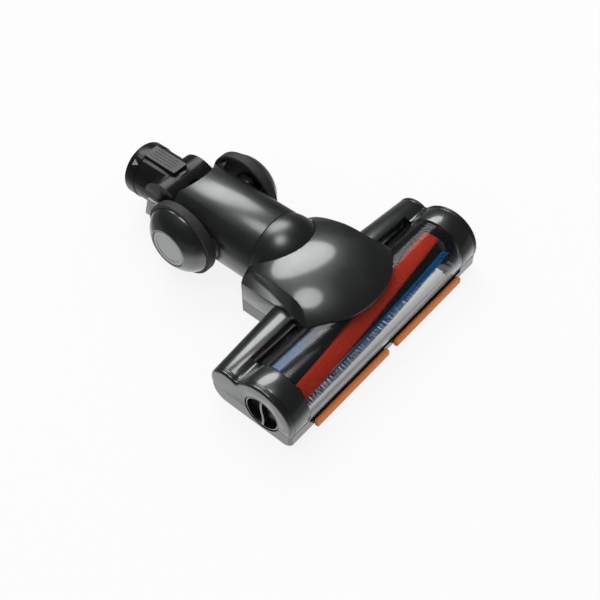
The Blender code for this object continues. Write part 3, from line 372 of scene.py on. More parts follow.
def mesh_from(bm, name):
    bmesh.ops.recalc_face_normals(bm, faces=bm.faces)
    mesh = bpy.data.meshes.new(name)
    bm.to_mesh(mesh)
    bm.free()
    return mesh


def box(name, low, high):
    bm = bmesh.new()
    bmesh.ops.create_cube(bm, size=1.0)
    low = Vector(low)
    high = Vector(high)
    bmesh.ops.scale(bm, vec=high - low, verts=bm.verts)
    bmesh.ops.translate(bm, vec=(low + high) / 2, verts=bm.verts)
    return new_object(name, mesh_from(bm, name))


AXIS_TURN = {
    "X": Matrix.Rotation(math.radians(90), 4, "Y"),
    "Y": Matrix.Rotation(math.radians(-90), 4, "X"),
    "Z": Matrix.Identity(4),
}


def rod(name, centre, radius, length, axis, steps=ROUND):
    bm = bmesh.new()
    bmesh.ops.create_cone(bm, cap_ends=True, segments=steps, radius1=radius, radius2=radius, depth=length)
    bmesh.ops.transform(bm, matrix=Matrix.Translation(centre) @ AXIS_TURN[axis], verts=bm.verts)
    return new_object(name, mesh_from(bm, name))


def ellipsoid(name, centre, radii, segments=ROUND, rings=64):
    bm = bmesh.new()
    bmesh.ops.create_uvsphere(bm, u_segments=segments, v_segments=rings, radius=1.0)
    bmesh.ops.scale(bm, vec=radii, verts=bm.verts)
    bmesh.ops.translate(bm, vec=centre, verts=bm.verts)
    return new_object(name, mesh_from(bm, name))


def turned(name, profile, centre, axis, steps=ROUND):
    """Spin a closed loop of (radius, along) points, or an open one that ends on the axis."""
    bm = bmesh.new()
    points = [bm.verts.new((radius, 0.0, along)) for radius, along in profile]
    edges = [bm.edges.new(pair) for pair in zip(points, points[1:])]
    if profile[0][0] > 0.0 or profile[-1][0] > 0.0:
        edges.append(bm.edges.new((points[-1], points[0])))
    bmesh.ops.spin(bm, geom=points + edges, cent=(0, 0, 0), axis=(0, 0, 1), angle=2 * math.pi, steps=steps,
                   use_merge=True)
    bmesh.ops.remove_doubles(bm, verts=bm.verts, dist=1e-6)
    bmesh.ops.transform(bm, matrix=Matrix.Translation(centre) @ AXIS_TURN[axis], verts=bm.verts)
    return new_object(name, mesh_from(bm, name))


def loft(name, rings):
    """Skin a row of rings that have the same number of points, and cap both ends."""
    bm = bmesh.new()
    rows = [[bm.verts.new(point) for point in ring] for ring in rings]
    count = len(rows[0])
    for row, following in zip(rows, rows[1:]):
        for index in range(count):
            after = (index + 1) % count
            bm.faces.new((row[index], row[after], following[after], following[index]))
    bm.faces.new(rows[0])
    bm.faces.new(rows[-1])
    return new_object(name, mesh_from(bm, name))


def plate(name, outline, low, high):
    """An outline in Y and Z given thickness along X."""
    return loft(name, [[(low, y, z) for y, z in outline], [(high, y, z) for y, z in outline]])


def arc(centre, radius, start, end, count):
    """Points on a circle, angles in degrees from the first axis, both ends included."""
    points = []
    for index in range(count + 1):
        angle = math.radians(start + (end - start) * index / count)
        points.append((centre[0] + radius * math.cos(angle), centre[1] + radius * math.sin(angle)))
    return points


def rise_angle(rise, radius):
    """Degrees up from level at which a circle is this high above its centre."""
    return math.degrees(math.asin(rise / radius))


def bend(start, knee, end, count):
    """Points on a soft corner from start towards knee and on to end, without the last one."""
    points = []
    for index in range(count):
        t = index / count
        weights = ((1 - t) ** 2, 2 * t * (1 - t), t * t)
        points.append(tuple(sum(w * p[k] for w, p in zip(weights, (start, knee, end))) for k in (0, 1)))
    return points


def settle(item):
    """Replace an object's mesh with what its modifiers make."""
    bpy.context.view_layer.update()
    mesh = bpy.data.meshes.new_from_object(item.evaluated_get(bpy.context.evaluated_depsgraph_get()))
    item.modifiers.clear()
    item.data = mesh
    return item


def combine(target, others, operation, solver="MANIFOLD"):
    for other in others:
        step = target.modifiers.new(other.name, "BOOLEAN")
        step.operation = operation
        step.solver = solver
        step.object = other
        settle(target)
    for other in others:
        bpy.data.objects.remove(other, do_unlink=True)
    return target


def cut(target, *others):
    return combine(target, others, "DIFFERENCE")


def join(target, *others):
    return combine(target, others, "UNION")


def round_edges(item, width=EDGE, angle=38, segments=2):
    step = item.modifiers.new("edges", "BEVEL")
    step.width = width
    step.segments = segments
    step.limit_method = "ANGLE"
    step.angle_limit = math.radians(angle)
    step.harden_normals = False
    return settle(item)


def finish_piece(item, body, slot, nodes=(), angle=32, look=None):
    """Move a piece from the head's own frame to the row frame, paint it and hang it on its body."""
    item.data.transform(Matrix.Translation((0, BRUSH_Y, 0)))
    item.data.materials.clear()
    item.data.materials.append(look or LOOKS[slot])
    smooth(item.data, angle)
    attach(item, body)
    if nodes:
        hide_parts(*nodes)
    return item


def lobe_at(x):
    """Centre and radius of the wing behind the brush at a place along X."""
    share = (abs(x) - BAY_HALF_WIDTH) / (SECTION_X - BAY_HALF_WIDTH)
    share = min(max(share, 0.0), LOBE_OVERRUN)
    centre = LOBE_Y_MID + (LOBE_Y_END - LOBE_Y_MID) * share
    return centre, LOBE_R_MID + (LOBE_R_END - LOBE_R_MID) * share


def head_ring(x, inset, base_z, count=FINE_ARC):
    """Section of the head at x: barrel arc, soft valley, wing arc, and a flat side at base_z."""
    lobe_y, lobe_r = lobe_at(x)
    barrel = BARREL_R - inset
    lobe = lobe_r - inset
    reach = math.hypot(lobe_y, LOBE_Z - BRUSH_Z)
    along = (reach ** 2 + barrel ** 2 - lobe ** 2) / (2 * reach)
    height = math.sqrt(barrel ** 2 - along ** 2)
    tilt = math.atan2(LOBE_Z - BRUSH_Z, lobe_y)
    meet_y = along * math.cos(tilt) - height * math.sin(tilt)
    meet_z = along * math.sin(tilt) + height * math.cos(tilt)
    front = 180 + rise_angle(BRUSH_Z - base_z, barrel)
    valley = math.degrees(math.atan2(meet_z, meet_y))
    lobe_start = math.degrees(math.atan2(meet_z + BRUSH_Z - LOBE_Z, meet_y - lobe_y))
    lobe_end = -rise_angle(LOBE_Z - base_z, lobe)
    before = arc((0.0, BRUSH_Z), barrel, front, valley, count)
    after = arc((lobe_y, LOBE_Z), lobe, lobe_start, lobe_end, count)
    start = before[-1 - VALLEY_STEPS]
    end = after[2 * VALLEY_STEPS]
    soft = bend(start, after[0], end, 3 * VALLEY_STEPS)
    points = before[:-1 - VALLEY_STEPS] + soft + after[2 * VALLEY_STEPS:]
    return [(x, y, z) for y, z in points]


def head_loft(name, inset, base_z, reach):
    stations = [-reach, -BAY_HALF_WIDTH, BAY_HALF_WIDTH, reach]
    return loft(name, [head_ring(x, inset, base_z) for x in stations])


def make_upper_shell():
    shell = head_loft("upper_shell_skin", 0.0, SEAM_Z + GAP / 2, SECTION_X)
    pod = box("pod", (-BAY_HALF_WIDTH, BAY_FRONT_Y - POD_BITE, SEAM_Z + GAP / 2),
              (BAY_HALF_WIDTH, BAY_REAR_Y, BAY_TOP_Z))
    join(shell, pod)
    ear_x = BALL_R + RUN + PIN_BITE + EAR_WALL - EAR_LENGTH / 2
    ears = [rod("ear", (sign * ear_x, BALL_Y, BALL_Z), EAR_R, EAR_LENGTH, "X") for sign in (-1, 1)]
    join(shell, *ears)
    seat_r = BARREL_R + GAP
    foot = -rise_angle(BRUSH_Z - WINDOW_FOOT_Z, seat_r)
    seat = arc((0.0, BRUSH_Z), seat_r, foot, 90, 56)
    outline = [(CLEAR_FRONT_Y, WINDOW_FOOT_Z)] + seat + [(CLEAR_FRONT_Y, BRUSH_Z + seat_r)]
    cut(shell, plate("window_bay", outline, -WINDOW_X, WINDOW_X),
        rod("brush_bore", BRUSH_CENTRE, BORE_R, 2 * HALF + OVER, "X"))
    for sign in (-1, 1):
        low, high = sorted((sign * (BAY_HALF_WIDTH - SLOT_BITE), sign * (WINDOW_X - SLOT_INSET)))
        slot = box("slot", (low, SLOT_FRONT_Y, SLOT_FLOOR_Z), (high, SLOT_REAR_Y, CLEAR_Z))
        length = SECTION_X - BAY_HALF_WIDTH - 2 * WING_WALL
        centre = sign * (SECTION_X - WING_WALL - length / 2)
        cut(shell, slot, rod("wing_hollow", (centre, WING_BORE_Y, LOBE_Z), WING_BORE_R, length, "X"))
    half = BALL_R + RUN
    bay = box("ball_bay", (-half, BAY_FRONT_Y, -OVER), (half, BAY_REAR_Y + OVER, CLEAR_Z))
    duct_middle = (0, (DUCT_START_Y + DUCT_END_Y) / 2, BALL_Z - DUCT_DROP)
    duct = rod("air_duct", duct_middle, DUCT_R, DUCT_END_Y - DUCT_START_Y, "Y")
    holes = rod("pin_holes", BALL_CENTRE, PIN_R + GAP, 2 * (BALL_R + RUN + PIN_BITE), "X")
    cut(shell, bay, duct, holes)
    round_edges(shell)
    finish_piece(shell, "head", "gunmetal_plastic", ["upper_shell"])


def make_end_caps():
    for side, sign in SIDES:
        stations = []
        for index in range(CAP_STEPS + 1):
            turn = math.radians(90 * index / CAP_STEPS)
            inward = CAP_EDGE * (1 - math.cos(turn)) * CAP_SQUEEZE
            stations.append((HALF - inward, CAP_EDGE * (1 - math.sin(turn))))
        for groove in CAP_GROOVES:
            x = HALF - groove
            stations += [(x + CAP_GROOVE_HALF, 0.0), (x, CAP_GROOVE_DEPTH), (x - CAP_GROOVE_HALF, 0.0)]
        stations.append((HALF - CAP_THICKNESS, 0.0))
        rings = [head_ring(sign * x, inset, SEAM_Z + GAP / 2) for x, inset in stations]
        cap = loft("end_cap_skin_" + side, rings)
        if side == "left":
            cut(cap, rod("lock_notch", (-HALF, 0, BRUSH_Z), LOCK_R + GAP, 4 * CAP_THICKNESS, "X"))
        else:
            join(cap, bearing_sleeve())
        round_edges(cap, CAP_FINE_EDGE, 45)
        finish_piece(cap, "head", "gunmetal_plastic", ["end_cap_" + side])


def bearing_sleeve():
    end = HALF - CAP_THICKNESS + SLEEVE_BITE
    start = end - SLEEVE_LENGTH
    profile = [(SLEEVE_BORE_R, start), (SLEEVE_R, start), (SLEEVE_R, end), (SLEEVE_BORE_R, end)]
    return turned("bearing_sleeve", profile, BRUSH_CENTRE, "X")


def shield_points():
    """The dome's outline seen from above, left rear corner round the front to the right rear."""
    chord = DOME_WIDE - DOME_CHORD_CUT
    radius = (chord ** 2 + DOME_FRONT_DROP ** 2) / (2 * DOME_FRONT_DROP)
    spread = rise_angle(chord, radius)
    front = arc((0.0, DOME_FRONT_Y + radius), radius, 270 - spread, 270 + spread, SHIELD_FRONT_STEPS)
    start = (-DOME_WIDE + DOME_CORNER_SWELL, DOME_CORNER_Y + DOME_CORNER_RUN)
    knee = (-DOME_WIDE - DOME_CORNER_SWELL, DOME_CORNER_Y + DOME_CORNER_SWELL)
    end = front[0]
    left = [(-DOME_NARROW, BAY_REAR_Y)]
    for index in range(1, SHIELD_SIDE_STEPS):
        t = index / SHIELD_SIDE_STEPS
        left.append(tuple(left[0][k] + (start[k] - left[0][k]) * t for k in (0, 1)))
    left += bend(start, knee, end, SHIELD_CORNER_STEPS)
    right = [(-x, y) for x, y in reversed(left)]
    return left + front + right


def side_half_width(y):
    """Half the shield's width at y, from the narrow rear to the wide front corners."""
    share = (BAY_REAR_Y - y) / (BAY_REAR_Y - DOME_CORNER_Y - DOME_CORNER_RUN)
    return DOME_NARROW + (DOME_WIDE - DOME_NARROW) * min(share, 1.0)


def dome_width(x, y, z):
    """Where a point of the shield's outline lies at height z."""
    foot_x = BAY_HALF_WIDTH * x / side_half_width(y)
    full_z = FLANK_FULL_Z if abs(x) > abs(foot_x) else DOME_EDGE_Z
    lean = min(max((z - BAY_TOP_Z) / (full_z - BAY_TOP_Z), 0.0), 1.0)
    near_front = min(max((CORNER_END_Y - y) / CORNER_FADE, 0.0), 1.0)
    near_side = min(max((abs(x) - FLANK_START_X) / FLANK_FADE, 0.0), 1.0)
    slope = (FLANK_SLOPE + (CORNER_SLOPE - FLANK_SLOPE) * near_front) * near_side
    return (foot_x + (x - foot_x) * lean) * (1 - slope * max(z - FLANK_TURN_Z, 0.0))


def dome_block(name, inset, low):
    """Shield prism whose sides lean between the bay walls below and the shield edge above."""
    rings = []
    for level in range(DOME_LEVELS + 1):
        z = low + (DOME_BLOCK_TOP - low) * level / DOME_LEVELS
        ring = []
        for x, y in shield_points():
            wide = dome_width(x, y, z)
            shrink = 1 - inset / BAY_HALF_WIDTH
            rear_shift = OVER if inset else 0.0     # a room opens the block's rear
            ring.append((wide * shrink, y + (inset if y < BALL_Y else rear_shift), z))
        rings.append(ring)
    return loft(name, rings)


def make_dome():
    dome = dome_block("dome_skin", 0.0, BAY_TOP_Z + GAP)
    centre = (0, DOME_CENTRE_Y, DOME_CENTRE_Z)
    radii = (DOME_RX, DOME_RY, DOME_TOP)
    crown = ellipsoid("dome_crown", centre, radii, 160, 80)
    combine(dome, [crown], "INTERSECT")
    room = dome_block("dome_room", DOME_WALL, BAY_TOP_Z - OVER)
    inner = ellipsoid("dome_room_crown", centre, [radius - DOME_WALL for radius in radii])
    combine(room, [inner], "INTERSECT")
    saddle = head_loft("dome_saddle", -2 * GAP, SEAM_Z, SECTION_X)
    socket = ellipsoid("dome_socket", BALL_CENTRE, (BALL_R + RUN,) * 3)
    swing = rod("neck_swing", (0, BALL_R, 0), NECK_R + RUN, 2 * BALL_R, "Y")
    rise = Matrix.Rotation(math.radians(PITCH_UP), 4, "X")
    swing.matrix_world = Matrix.Translation(BALL_CENTRE) @ rise
    cut(dome, room, saddle, socket, swing)
    round_edges(dome, DOME_EDGE, 24, 4)
    finish_piece(dome, "head", "gunmetal_plastic", ["dome_cover"])


def window_outline(inner, outer, count=64):
    front = 180 + rise_angle(BRUSH_Z - WINDOW_FRONT_Z, BARREL_R)
    rear = -rise_angle(BRUSH_Z - WINDOW_REAR_Z, BARREL_R)
    return arc((0.0, BRUSH_Z), outer, front, rear, count) + arc((0.0, BRUSH_Z), inner, rear, front, count)


def make_window():
    outline = window_outline(BARREL_R - WINDOW_WALL, BARREL_R)
    window = plate("window_shell", outline, -WINDOW_X + GAP, WINDOW_X - GAP)
    round_edges(window, WINDOW_EDGE, 50)
    finish_piece(window, "head", "smoked_window", ["brush_window"])


def strip_outline(back, front, low, top):
    crown_r = (back - front) / 2
    crown = arc((front + crown_r, top - crown_r), crown_r, 90, 180, 10)
    toe = arc((front + STRIP_TOE, low + STRIP_TOE), STRIP_TOE, 180, 270, 8)
    return [(back, top)] + crown + toe + [(back, low)]


def make_strips():
    """Orange pile strips along the front lip, rounded at their ends, and one along the rear."""
    for side in ("left", "right"):
        low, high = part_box("glide_strip_" + side)
        outline = strip_outline(high.y - BRUSH_Y, low.y - BRUSH_Y, low.z, high.z)
        strip = plate("pile_strip_" + side, outline, low.x, high.x)
        round_edges(strip, STRIP_EDGE, 50, 3)
        finish_piece(strip, "head", "orange_strip", ["glide_strip_" + side], 50)
    low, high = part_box("rear_felt_strip")
    strip = box("pile_strip_rear", (low.x, low.y - BRUSH_Y, low.z), (high.x, high.y - BRUSH_Y, high.z))
    round_edges(strip, FELT_EDGE, 30, 3)
    finish_piece(strip, "head", "orange_strip", ["rear_felt_strip"], 50)


def make_elbow():
    """Hollow ball with its mouth to the front and a swivel spigot to the rear."""
    seam = math.sqrt(BALL_R ** 2 - NECK_R ** 2)
    inner_r = BALL_R - BALL_WALL
    mouth = 180 - rise_angle(BALL_MOUTH_R, BALL_R)
    rim = 90 - rise_angle(seam, BALL_R)
    outside = [(r, along) for along, r in arc((0.0, 0.0), BALL_R, rim, mouth, 48)]
    inner_rim = 90 - rise_angle(seam - BALL_WALL, inner_r)
    inner_mouth = 180 - rise_angle(BALL_MOUTH_R - MOUTH_CHAMFER, inner_r)
    inside = [(r, along) for along, r in arc((0.0, 0.0), inner_r, inner_mouth, inner_rim, 32)]
    bore = SPIGOT_R - SPIGOT_WALL
    spigot = [(bore, seam - BALL_WALL), (bore, seam + SPIGOT_LENGTH), (SPIGOT_R, seam + SPIGOT_LENGTH),
              (SPIGOT_R, seam)]
    elbow = turned("elbow_skin", outside + inside + spigot, BALL_CENTRE, "Y", TURN_STEPS)
    cut(elbow, rod("elbow_pin_hole", BALL_CENTRE, PIN_R + RUN, 2 * (BALL_R + OVER), "X"))
    finish_piece(elbow, "elbow", "gunmetal_plastic", ["elbow_ball"], look=ELBOW_LOOK)


def neck_tube(name):
    start = BALL_Y + math.sqrt(BALL_R ** 2 - NECK_R ** 2) + GAP
    length = NECK_HEEL_Y + OVER - start
    inner = NECK_R - NECK_WALL
    corner = NECK_RIM * CORNER_SHARE
    profile = [(inner, 0.0), (NECK_R - NECK_RIM, 0.0), (NECK_R - corner, corner), (NECK_R, NECK_RIM),
               (NECK_R, length), (inner, length)]
    return turned(name, profile, (0, start, BALL_Z), "Y", TURN_STEPS)


def wheel_flats():
    flats = []
    for sign in (-1, 1):
        low, high = sorted((sign * NECK_FLAT_X, sign * CLEAR_WHEEL_X))
        flats.append(box("wheel_flat", (low, FLAT_FRONT_Y, -OVER), (high, NECK_HEEL_Y + OVER, CLEAR_Z)))
    return flats


def tilt_room():
    """Room for the wand tube, flat and upright."""
    sweep = math.hypot(TUBE_R + HUMP_HEIGHT, HUMP_HALF_WIDTH) + RUN
    return [rod("tilt_sweep", TILT_CENTRE, sweep, 2 * (TUBE_R + RUN), "X"),
            rod("upright_sweep", (0, TILT_Y, TILT_Z + CLEAR_Z / 2), sweep, CLEAR_Z, "Z")]


def across_neck(name, front_y, low_z, high_z):
    return box(name, (-CLEAR_NECK_X, front_y, low_z), (CLEAR_NECK_X, CLEAR_REAR_Y, high_z))


def make_neck():
    upper = neck_tube("neck_upper_skin")
    below = across_neck("below_seam", 0.0, -OVER, NECK_SEAM_Z + GAP / 2)
    rear = across_neck("neck_top_end", TILT_Y - NECK_TOP_SHORT, NECK_SEAM_Z - OVER, CLEAR_Z)
    cut(upper, below, *wheel_flats(), *tilt_room(), rear)
    round_edges(upper, NECK_EDGE, 40)
    finish_piece(upper, "neck", "gunmetal_plastic", ["neck_upper_shell"], look=NECK_LOOK)
    lower = neck_tube("neck_lower_skin")
    cut(lower, *wheel_flats())
    for sign in (-1, 1):
        join(lower, wheel_boss(sign), pin_boss(sign))
    above = across_neck("above_seam", 0.0, NECK_SEAM_Z - GAP / 2, CLEAR_Z)
    outline = [(NECK_ARM_Y, NECK_SEAM_Z), (NECK_HEEL_Y, -OVER), (CLEAR_REAR_Y, -OVER),
               (CLEAR_REAR_Y, CLEAR_Z), (NECK_ARM_Y, CLEAR_Z)]
    slant = plate("heel_slant", outline, -CLEAR_NECK_X, CLEAR_NECK_X)
    axle_hole = rod("axle_hole", AXLE_CENTRE, AXLE_R + GAP, 2 * CLEAR_NECK_X, "X")
    pin_hole = rod("tilt_hole", TILT_CENTRE, TILT_PIN_R + GAP, 2 * (NECK_FLAT_X + OVER), "X")
    cut(lower, above, slant, *tilt_room(), axle_hole, pin_hole)
    round_edges(lower, NECK_EDGE, 40)
    finish_piece(lower, "neck", "gunmetal_plastic", ["neck_lower_shell"], look=NECK_LOOK)


def on_axle(name, profile, sign, steps=TURN_STEPS):
    """Spin a profile round the axle; its places are distances from the middle to the side of sign."""
    profile = [(radius, sign * along) for radius, along in profile]
    return turned(name, profile, AXLE_CENTRE, "X", steps)


def wheel_boss(sign):
    """Round steps on the neck that the wheel runs against, with a sleeve for the axle inside."""
    inner = NECK_FLAT_X - NECK_WALL
    outer = WHEEL_INNER_X - RUN
    step = NECK_FLAT_X + FLAT_STEP
    middle = (step + outer) / 2
    start = inner - AXLE_SLEEVE_LENGTH
    sleeve = AXLE_R + AXLE_SLEEVE_WALL
    first, second, third, last = (BOSS_R - drop for drop in BOSS_STEPS)
    steps = [(0.0, start), (sleeve, start), (sleeve, inner), (first, inner), (first, step), (second, middle),
             (third, middle), (last, outer), (0.0, outer)]
    return on_axle("wheel_boss", steps, sign, ROUND)


def pin_boss(sign):
    inner = TUBE_R + RUN + PIN_BOSS_GAP
    outer = NECK_FLAT_X + FLAT_STEP
    return rod("pin_boss", (sign * (inner + outer) / 2, TILT_Y, TILT_Z), PIN_BOSS_R, outer - inner, "X")


def make_wheel(side, sign):
    """Cone hub with a rounded shoulder, a soft tyre and a pale disc in a round bed."""
    inner = WHEEL_INNER_X
    rim = WHEEL_R - TYRE_DEPTH
    outer = inner + TYRE_WIDTH
    lip_r = DISC_R + DISC_LIP
    slope = []
    for index in range(CONE_STEPS + 1):
        t = index / CONE_STEPS
        bulge = CONE_BULGE * math.sin(math.pi * t)
        along = outer + CONE_STEP + (CONE_TIP_X - CONE_EDGE - outer) * t
        slope.append((rim + (lip_r - rim) * t + bulge, along + bulge))
    bed = CONE_TIP_X - DISC_BED
    lip = [(DISC_R + DISC_RIM_OUTER, CONE_TIP_X - NEAR), (DISC_R + DISC_RIM_INNER, CONE_TIP_X),
           (DISC_R + GAP, CONE_TIP_X - DISC_SINK), (DISC_R + GAP, bed), (AXLE_R + RUN, bed)]
    hub = [(radius, inner + depth) for radius, depth in HUB_INSIDE]
    hub += [(rim - drop, inner + depth) for drop, depth in HUB_RIM] + slope + lip
    seat = rim + GAP
    tyre = [(seat, inner), (WHEEL_R - TYRE_EDGE, inner)] + tyre_round(inner + TYRE_EDGE, 180, 90)
    tyre += tyre_round(outer - TYRE_EDGE, 90, 0) + [(seat, outer)]
    face = CONE_TIP_X - DISC_SINK
    ring = DISC_R - DISC_RING
    disc = [(0.0, bed + GAP), (DISC_R, bed + GAP), (DISC_R, face - DISC_EDGE), (DISC_R - DISC_EDGE, face),
            (ring, face), (ring - DISC_DISH, face - DISC_DISH), (0.0, face - DISC_DISH)]
    for name, profile, slot, node in (("wheel_cone_", hub, "gunmetal_plastic", "wheel_hub_"),
                                      ("tyre_skin_", tyre, "tyre_rubber", "tyre_"),
                                      ("wheel_face_", disc, "grey_disc", "wheel_disc_")):
        finish_piece(on_axle(name + side, profile, sign), "wheel_" + side, slot, [node + side])


def tyre_round(centre_x, start, end):
    return [(WHEEL_R - TYRE_EDGE + y, x) for x, y in arc((centre_x, 0.0), TYRE_EDGE, start, end, 6)]


def make_connector():
    """Black wand tube with a drum that turns on two pins between the neck's arms."""
    bore = TUBE_R - TUBE_WALL
    end = TUBE_END_Y - TILT_Y
    start = TUBE_FRONT_Y - TILT_Y
    low_r = TUBE_R - COLLAR_STEP
    collar = end - COLLAR_LENGTH
    corner = MOUTH_EDGE * CORNER_SHARE
    profile = [(bore, start), (low_r, start), (low_r, collar), (TUBE_R, collar + COLLAR_SLOPE),
               (TUBE_R, end - MOUTH_EDGE), (TUBE_R - corner, end - corner), (TUBE_R - MOUTH_EDGE, end),
               (bore + BORE_EDGE, end), (bore, end - BORE_EDGE)]
    tube = turned("wand_tube", profile, TILT_CENTRE, "Y", TURN_STEPS)
    drum = rod("drum", TILT_CENTRE, TUBE_R - 2 * COLLAR_STEP, 2 * DRUM_HALF_WIDTH, "X", TURN_STEPS)
    hump = box("hump", (-HUMP_HALF_WIDTH, TUBE_FRONT_Y + HUMP_START, TILT_Z + bore + OVER),
               (HUMP_HALF_WIDTH, HUMP_END_Y, TILT_Z + TUBE_R + HUMP_HEIGHT))
    join(tube, drum, hump)
    passage_middle = (0, TILT_Y + PASSAGE_SHIFT, TILT_Z)
    passage = rod("passage", passage_middle, bore + GAP, PASSAGE_LENGTH, "Y", TURN_STEPS)
    hole = rod("pin_hole", TILT_CENTRE, TILT_PIN_R + RUN, 2 * (NECK_FLAT_X + OVER), "X")
    low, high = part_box("contact_block")
    pocket = box("pocket", (low.x - GAP, low.y - BRUSH_Y - GAP, low.z - GAP),
                 (high.x + GAP, TUBE_END_Y + OVER, high.z + GAP))
    cut(tube, passage, hole, pocket)
    cut(tube, *hump_grooves())
    round_edges(tube, TUBE_EDGE, 40)
    finish_piece(tube, "connector", "black_plastic", ["wand_connector"])


def make_arrow():
    """Small pale triangle on the connector's collar, a plain sign of the way the wand goes in."""
    turn = math.radians(ARROW_ANGLE)
    half = math.radians(ARROW_SPREAD)
    corners = [(turn, ARROW_Y - ARROW_LENGTH), (turn + half, ARROW_Y), (turn - half, ARROW_Y)]
    rings = []
    for radius in (TUBE_R - ARROW_SINK, TUBE_R + ARROW_RISE):
        rings.append([(-radius * math.sin(angle), y, TILT_Z + radius * math.cos(angle))
                      for angle, y in corners])
    finish_piece(loft("arrow_mark", rings), "connector", "grey_disc")


def hump_grooves():
    """Fine grip lines along the hump."""
    top = TILT_Z + TUBE_R + HUMP_HEIGHT
    start = TUBE_FRONT_Y + HUMP_LINE_START
    pitch = 2 * HUMP_HALF_WIDTH / (HUMP_LINES + 1)
    grooves = []
    for index in range(HUMP_LINES):
        x = -HUMP_HALF_WIDTH + pitch * (index + 1)
        grooves.append(box("groove", (x - HUMP_LINE_HALF, start, top - HUMP_LINE_DEPTH),
                           (x + HUMP_LINE_HALF, HUMP_END_Y - HUMP_LINE_END, top + OVER)))
    return grooves


def make_lock():
    """Plug in the left end cap: two pockets leave a curved grip bar across its face."""
    face = -HALF + LOCK_SINK
    length = LOCK_LENGTH - LOCK_SINK
    bore_end = length - LOCK_BORE_DEPTH
    profile = [(0.0, 0.0)] + [(LOCK_R - drop, depth) for drop, depth in LOCK_ROUND]
    profile += [(LOCK_R, LOCK_HEAD_LENGTH), (LOCK_STEM_R, LOCK_HEAD_LENGTH + LOCK_SHOULDER),
                (LOCK_STEM_R, length), (LOCK_BORE_R, length), (LOCK_BORE_R, bore_end), (0.0, bore_end)]
    lock = turned("lock_plug", profile, (face, 0, BRUSH_Z), "X", TURN_STEPS)
    rim = LOCK_R - LOCK_RIM
    for sign in (-1, 1):
        start = rise_angle(LOCK_BAR, rim)
        outline = arc((0.0, 0.0), rim, -90 + start, 90 - start, 48)
        half_bar = [bar_edge(1 - index / BAR_STEPS, rim, sign) for index in range(1, 2 * BAR_STEPS)]
        outline = [(sign * y, z) for y, z in outline] + half_bar
        pocket = plate("pocket", [(y, BRUSH_Z + z) for y, z in outline], face - OVER, face + LOCK_POCKET)
        cut(lock, pocket)
    round_edges(lock, LOCK_EDGE, 40)
    finish_piece(lock, "lock", "gunmetal_plastic", ["brush_lock"])
    # The pockets' floors and walls take the black plastic look: painted shade in the recesses
    lock.data.materials.append(LOOKS["black_plastic"])
    for face_part in lock.data.polygons:
        place = face_part.center
        from_axis = math.hypot(place.y - BRUSH_Y, place.z - BRUSH_Z)
        if face + 2 * LOCK_EDGE < place.x < face + LOCK_POCKET + 2 * NEAR and from_axis < rim + NEAR:
            face_part.material_index = 1


def bar_edge(share, rim, sign):
    """A point on the grip bar's edge; the bar bows one way above the middle and the other way below."""
    reach = math.sqrt(rim ** 2 - LOCK_BAR ** 2)
    bow = LOCK_BOW * math.sin(math.pi * share)
    return sign * LOCK_BAR + bow, reach * share


def brush_point(x, angle, radius):
    """A point on the bar, angle in degrees up from the front."""
    turn = math.radians(angle)
    return Vector((x, -radius * math.cos(turn), BRUSH_Z + radius * math.sin(turn)))


def strip_angle(start_angle, x):
    return start_angle + TWIST * (x + BRUSH_HALF_LENGTH) / (2 * BRUSH_HALF_LENGTH)


def make_core():
    """Round bar on its shaft."""
    low = CORE_LOW.x
    high = CORE_HIGH.x
    half = BRUSH_HALF_LENGTH
    profile = [(0.0, low), (SHAFT_R - SHAFT_EDGE, low), (SHAFT_R, low + SHAFT_EDGE), (SHAFT_R, -half),
               (CORE_R - CORE_EDGE, -half), (CORE_R, -half + CORE_EDGE), (CORE_R, half - CORE_EDGE),
               (CORE_R - CORE_EDGE, half), (SHAFT_R, half), (SHAFT_R, high - SHAFT_EDGE),
               (SHAFT_R - SHAFT_EDGE, high), (0.0, high)]
    core = turned("bar_core", profile, BRUSH_CENTRE, "X")
    finish_piece(core, "brush", "black_plastic", ["brush_core"])


def add_spike(bm, root, tip, radius):
    """A thin three-sided bristle."""
    along = (tip - root).normalized()
    side = along.cross(Vector((1, 0, 0)))
    if side.length < 0.1:
        side = along.cross(Vector((0, 1, 0)))
    side.normalize()
    other = along.cross(side)
    ring = []
    for index in range(3):
        turn = 2 * math.pi * index / 3
        ring.append(side * math.cos(turn) * radius + other * math.sin(turn) * radius)
    low = [bm.verts.new(root + offset) for offset in ring]
    high = [bm.verts.new(tip + offset * SPIKE_TAPER) for offset in ring]
    for index in range(3):
        after = (index + 1) % 3
        bm.faces.new((low[index], low[after], high[after], high[index]))
    bm.faces.new(high)
    bm.faces.new(low[::-1])


def add_spikes(item, spikes, radius):
    bm = bmesh.new()
    bm.from_mesh(item.data)
    for root, tip in spikes:
        add_spike(bm, root, tip, radius)
    bm.to_mesh(item.data)
    bm.free()


def bar_stations(count):
    return [-PILE_HALF_LENGTH + 2 * PILE_HALF_LENGTH * index / count for index in range(count + 1)]


def band_ring(x, middle, rng):
    """Section of a soft band: flat foot on the bar, rounded shoulders, an uneven pile on top."""
    foot = [brush_point(x, middle + BAND_ANGLE * (share - 0.5), CORE_R + GAP) for share in (0.0, 0.5, 1.0)]
    top = []
    for row in range(BAND_ROWS + 1):
        share = 1 - row / BAND_ROWS
        edge = min(share, 1 - share) * 2
        drop = PILE_LOW + PILE_SHOULDER * (1 - min(edge * 4, 1.0)) ** 2
        radius = BRUSH_TIP_R - drop + rng.uniform(-PILE_ROUGH, PILE_ROUGH)
        top.append(brush_point(x, middle + BAND_ANGLE * (share - 0.5), radius))
    return foot + top


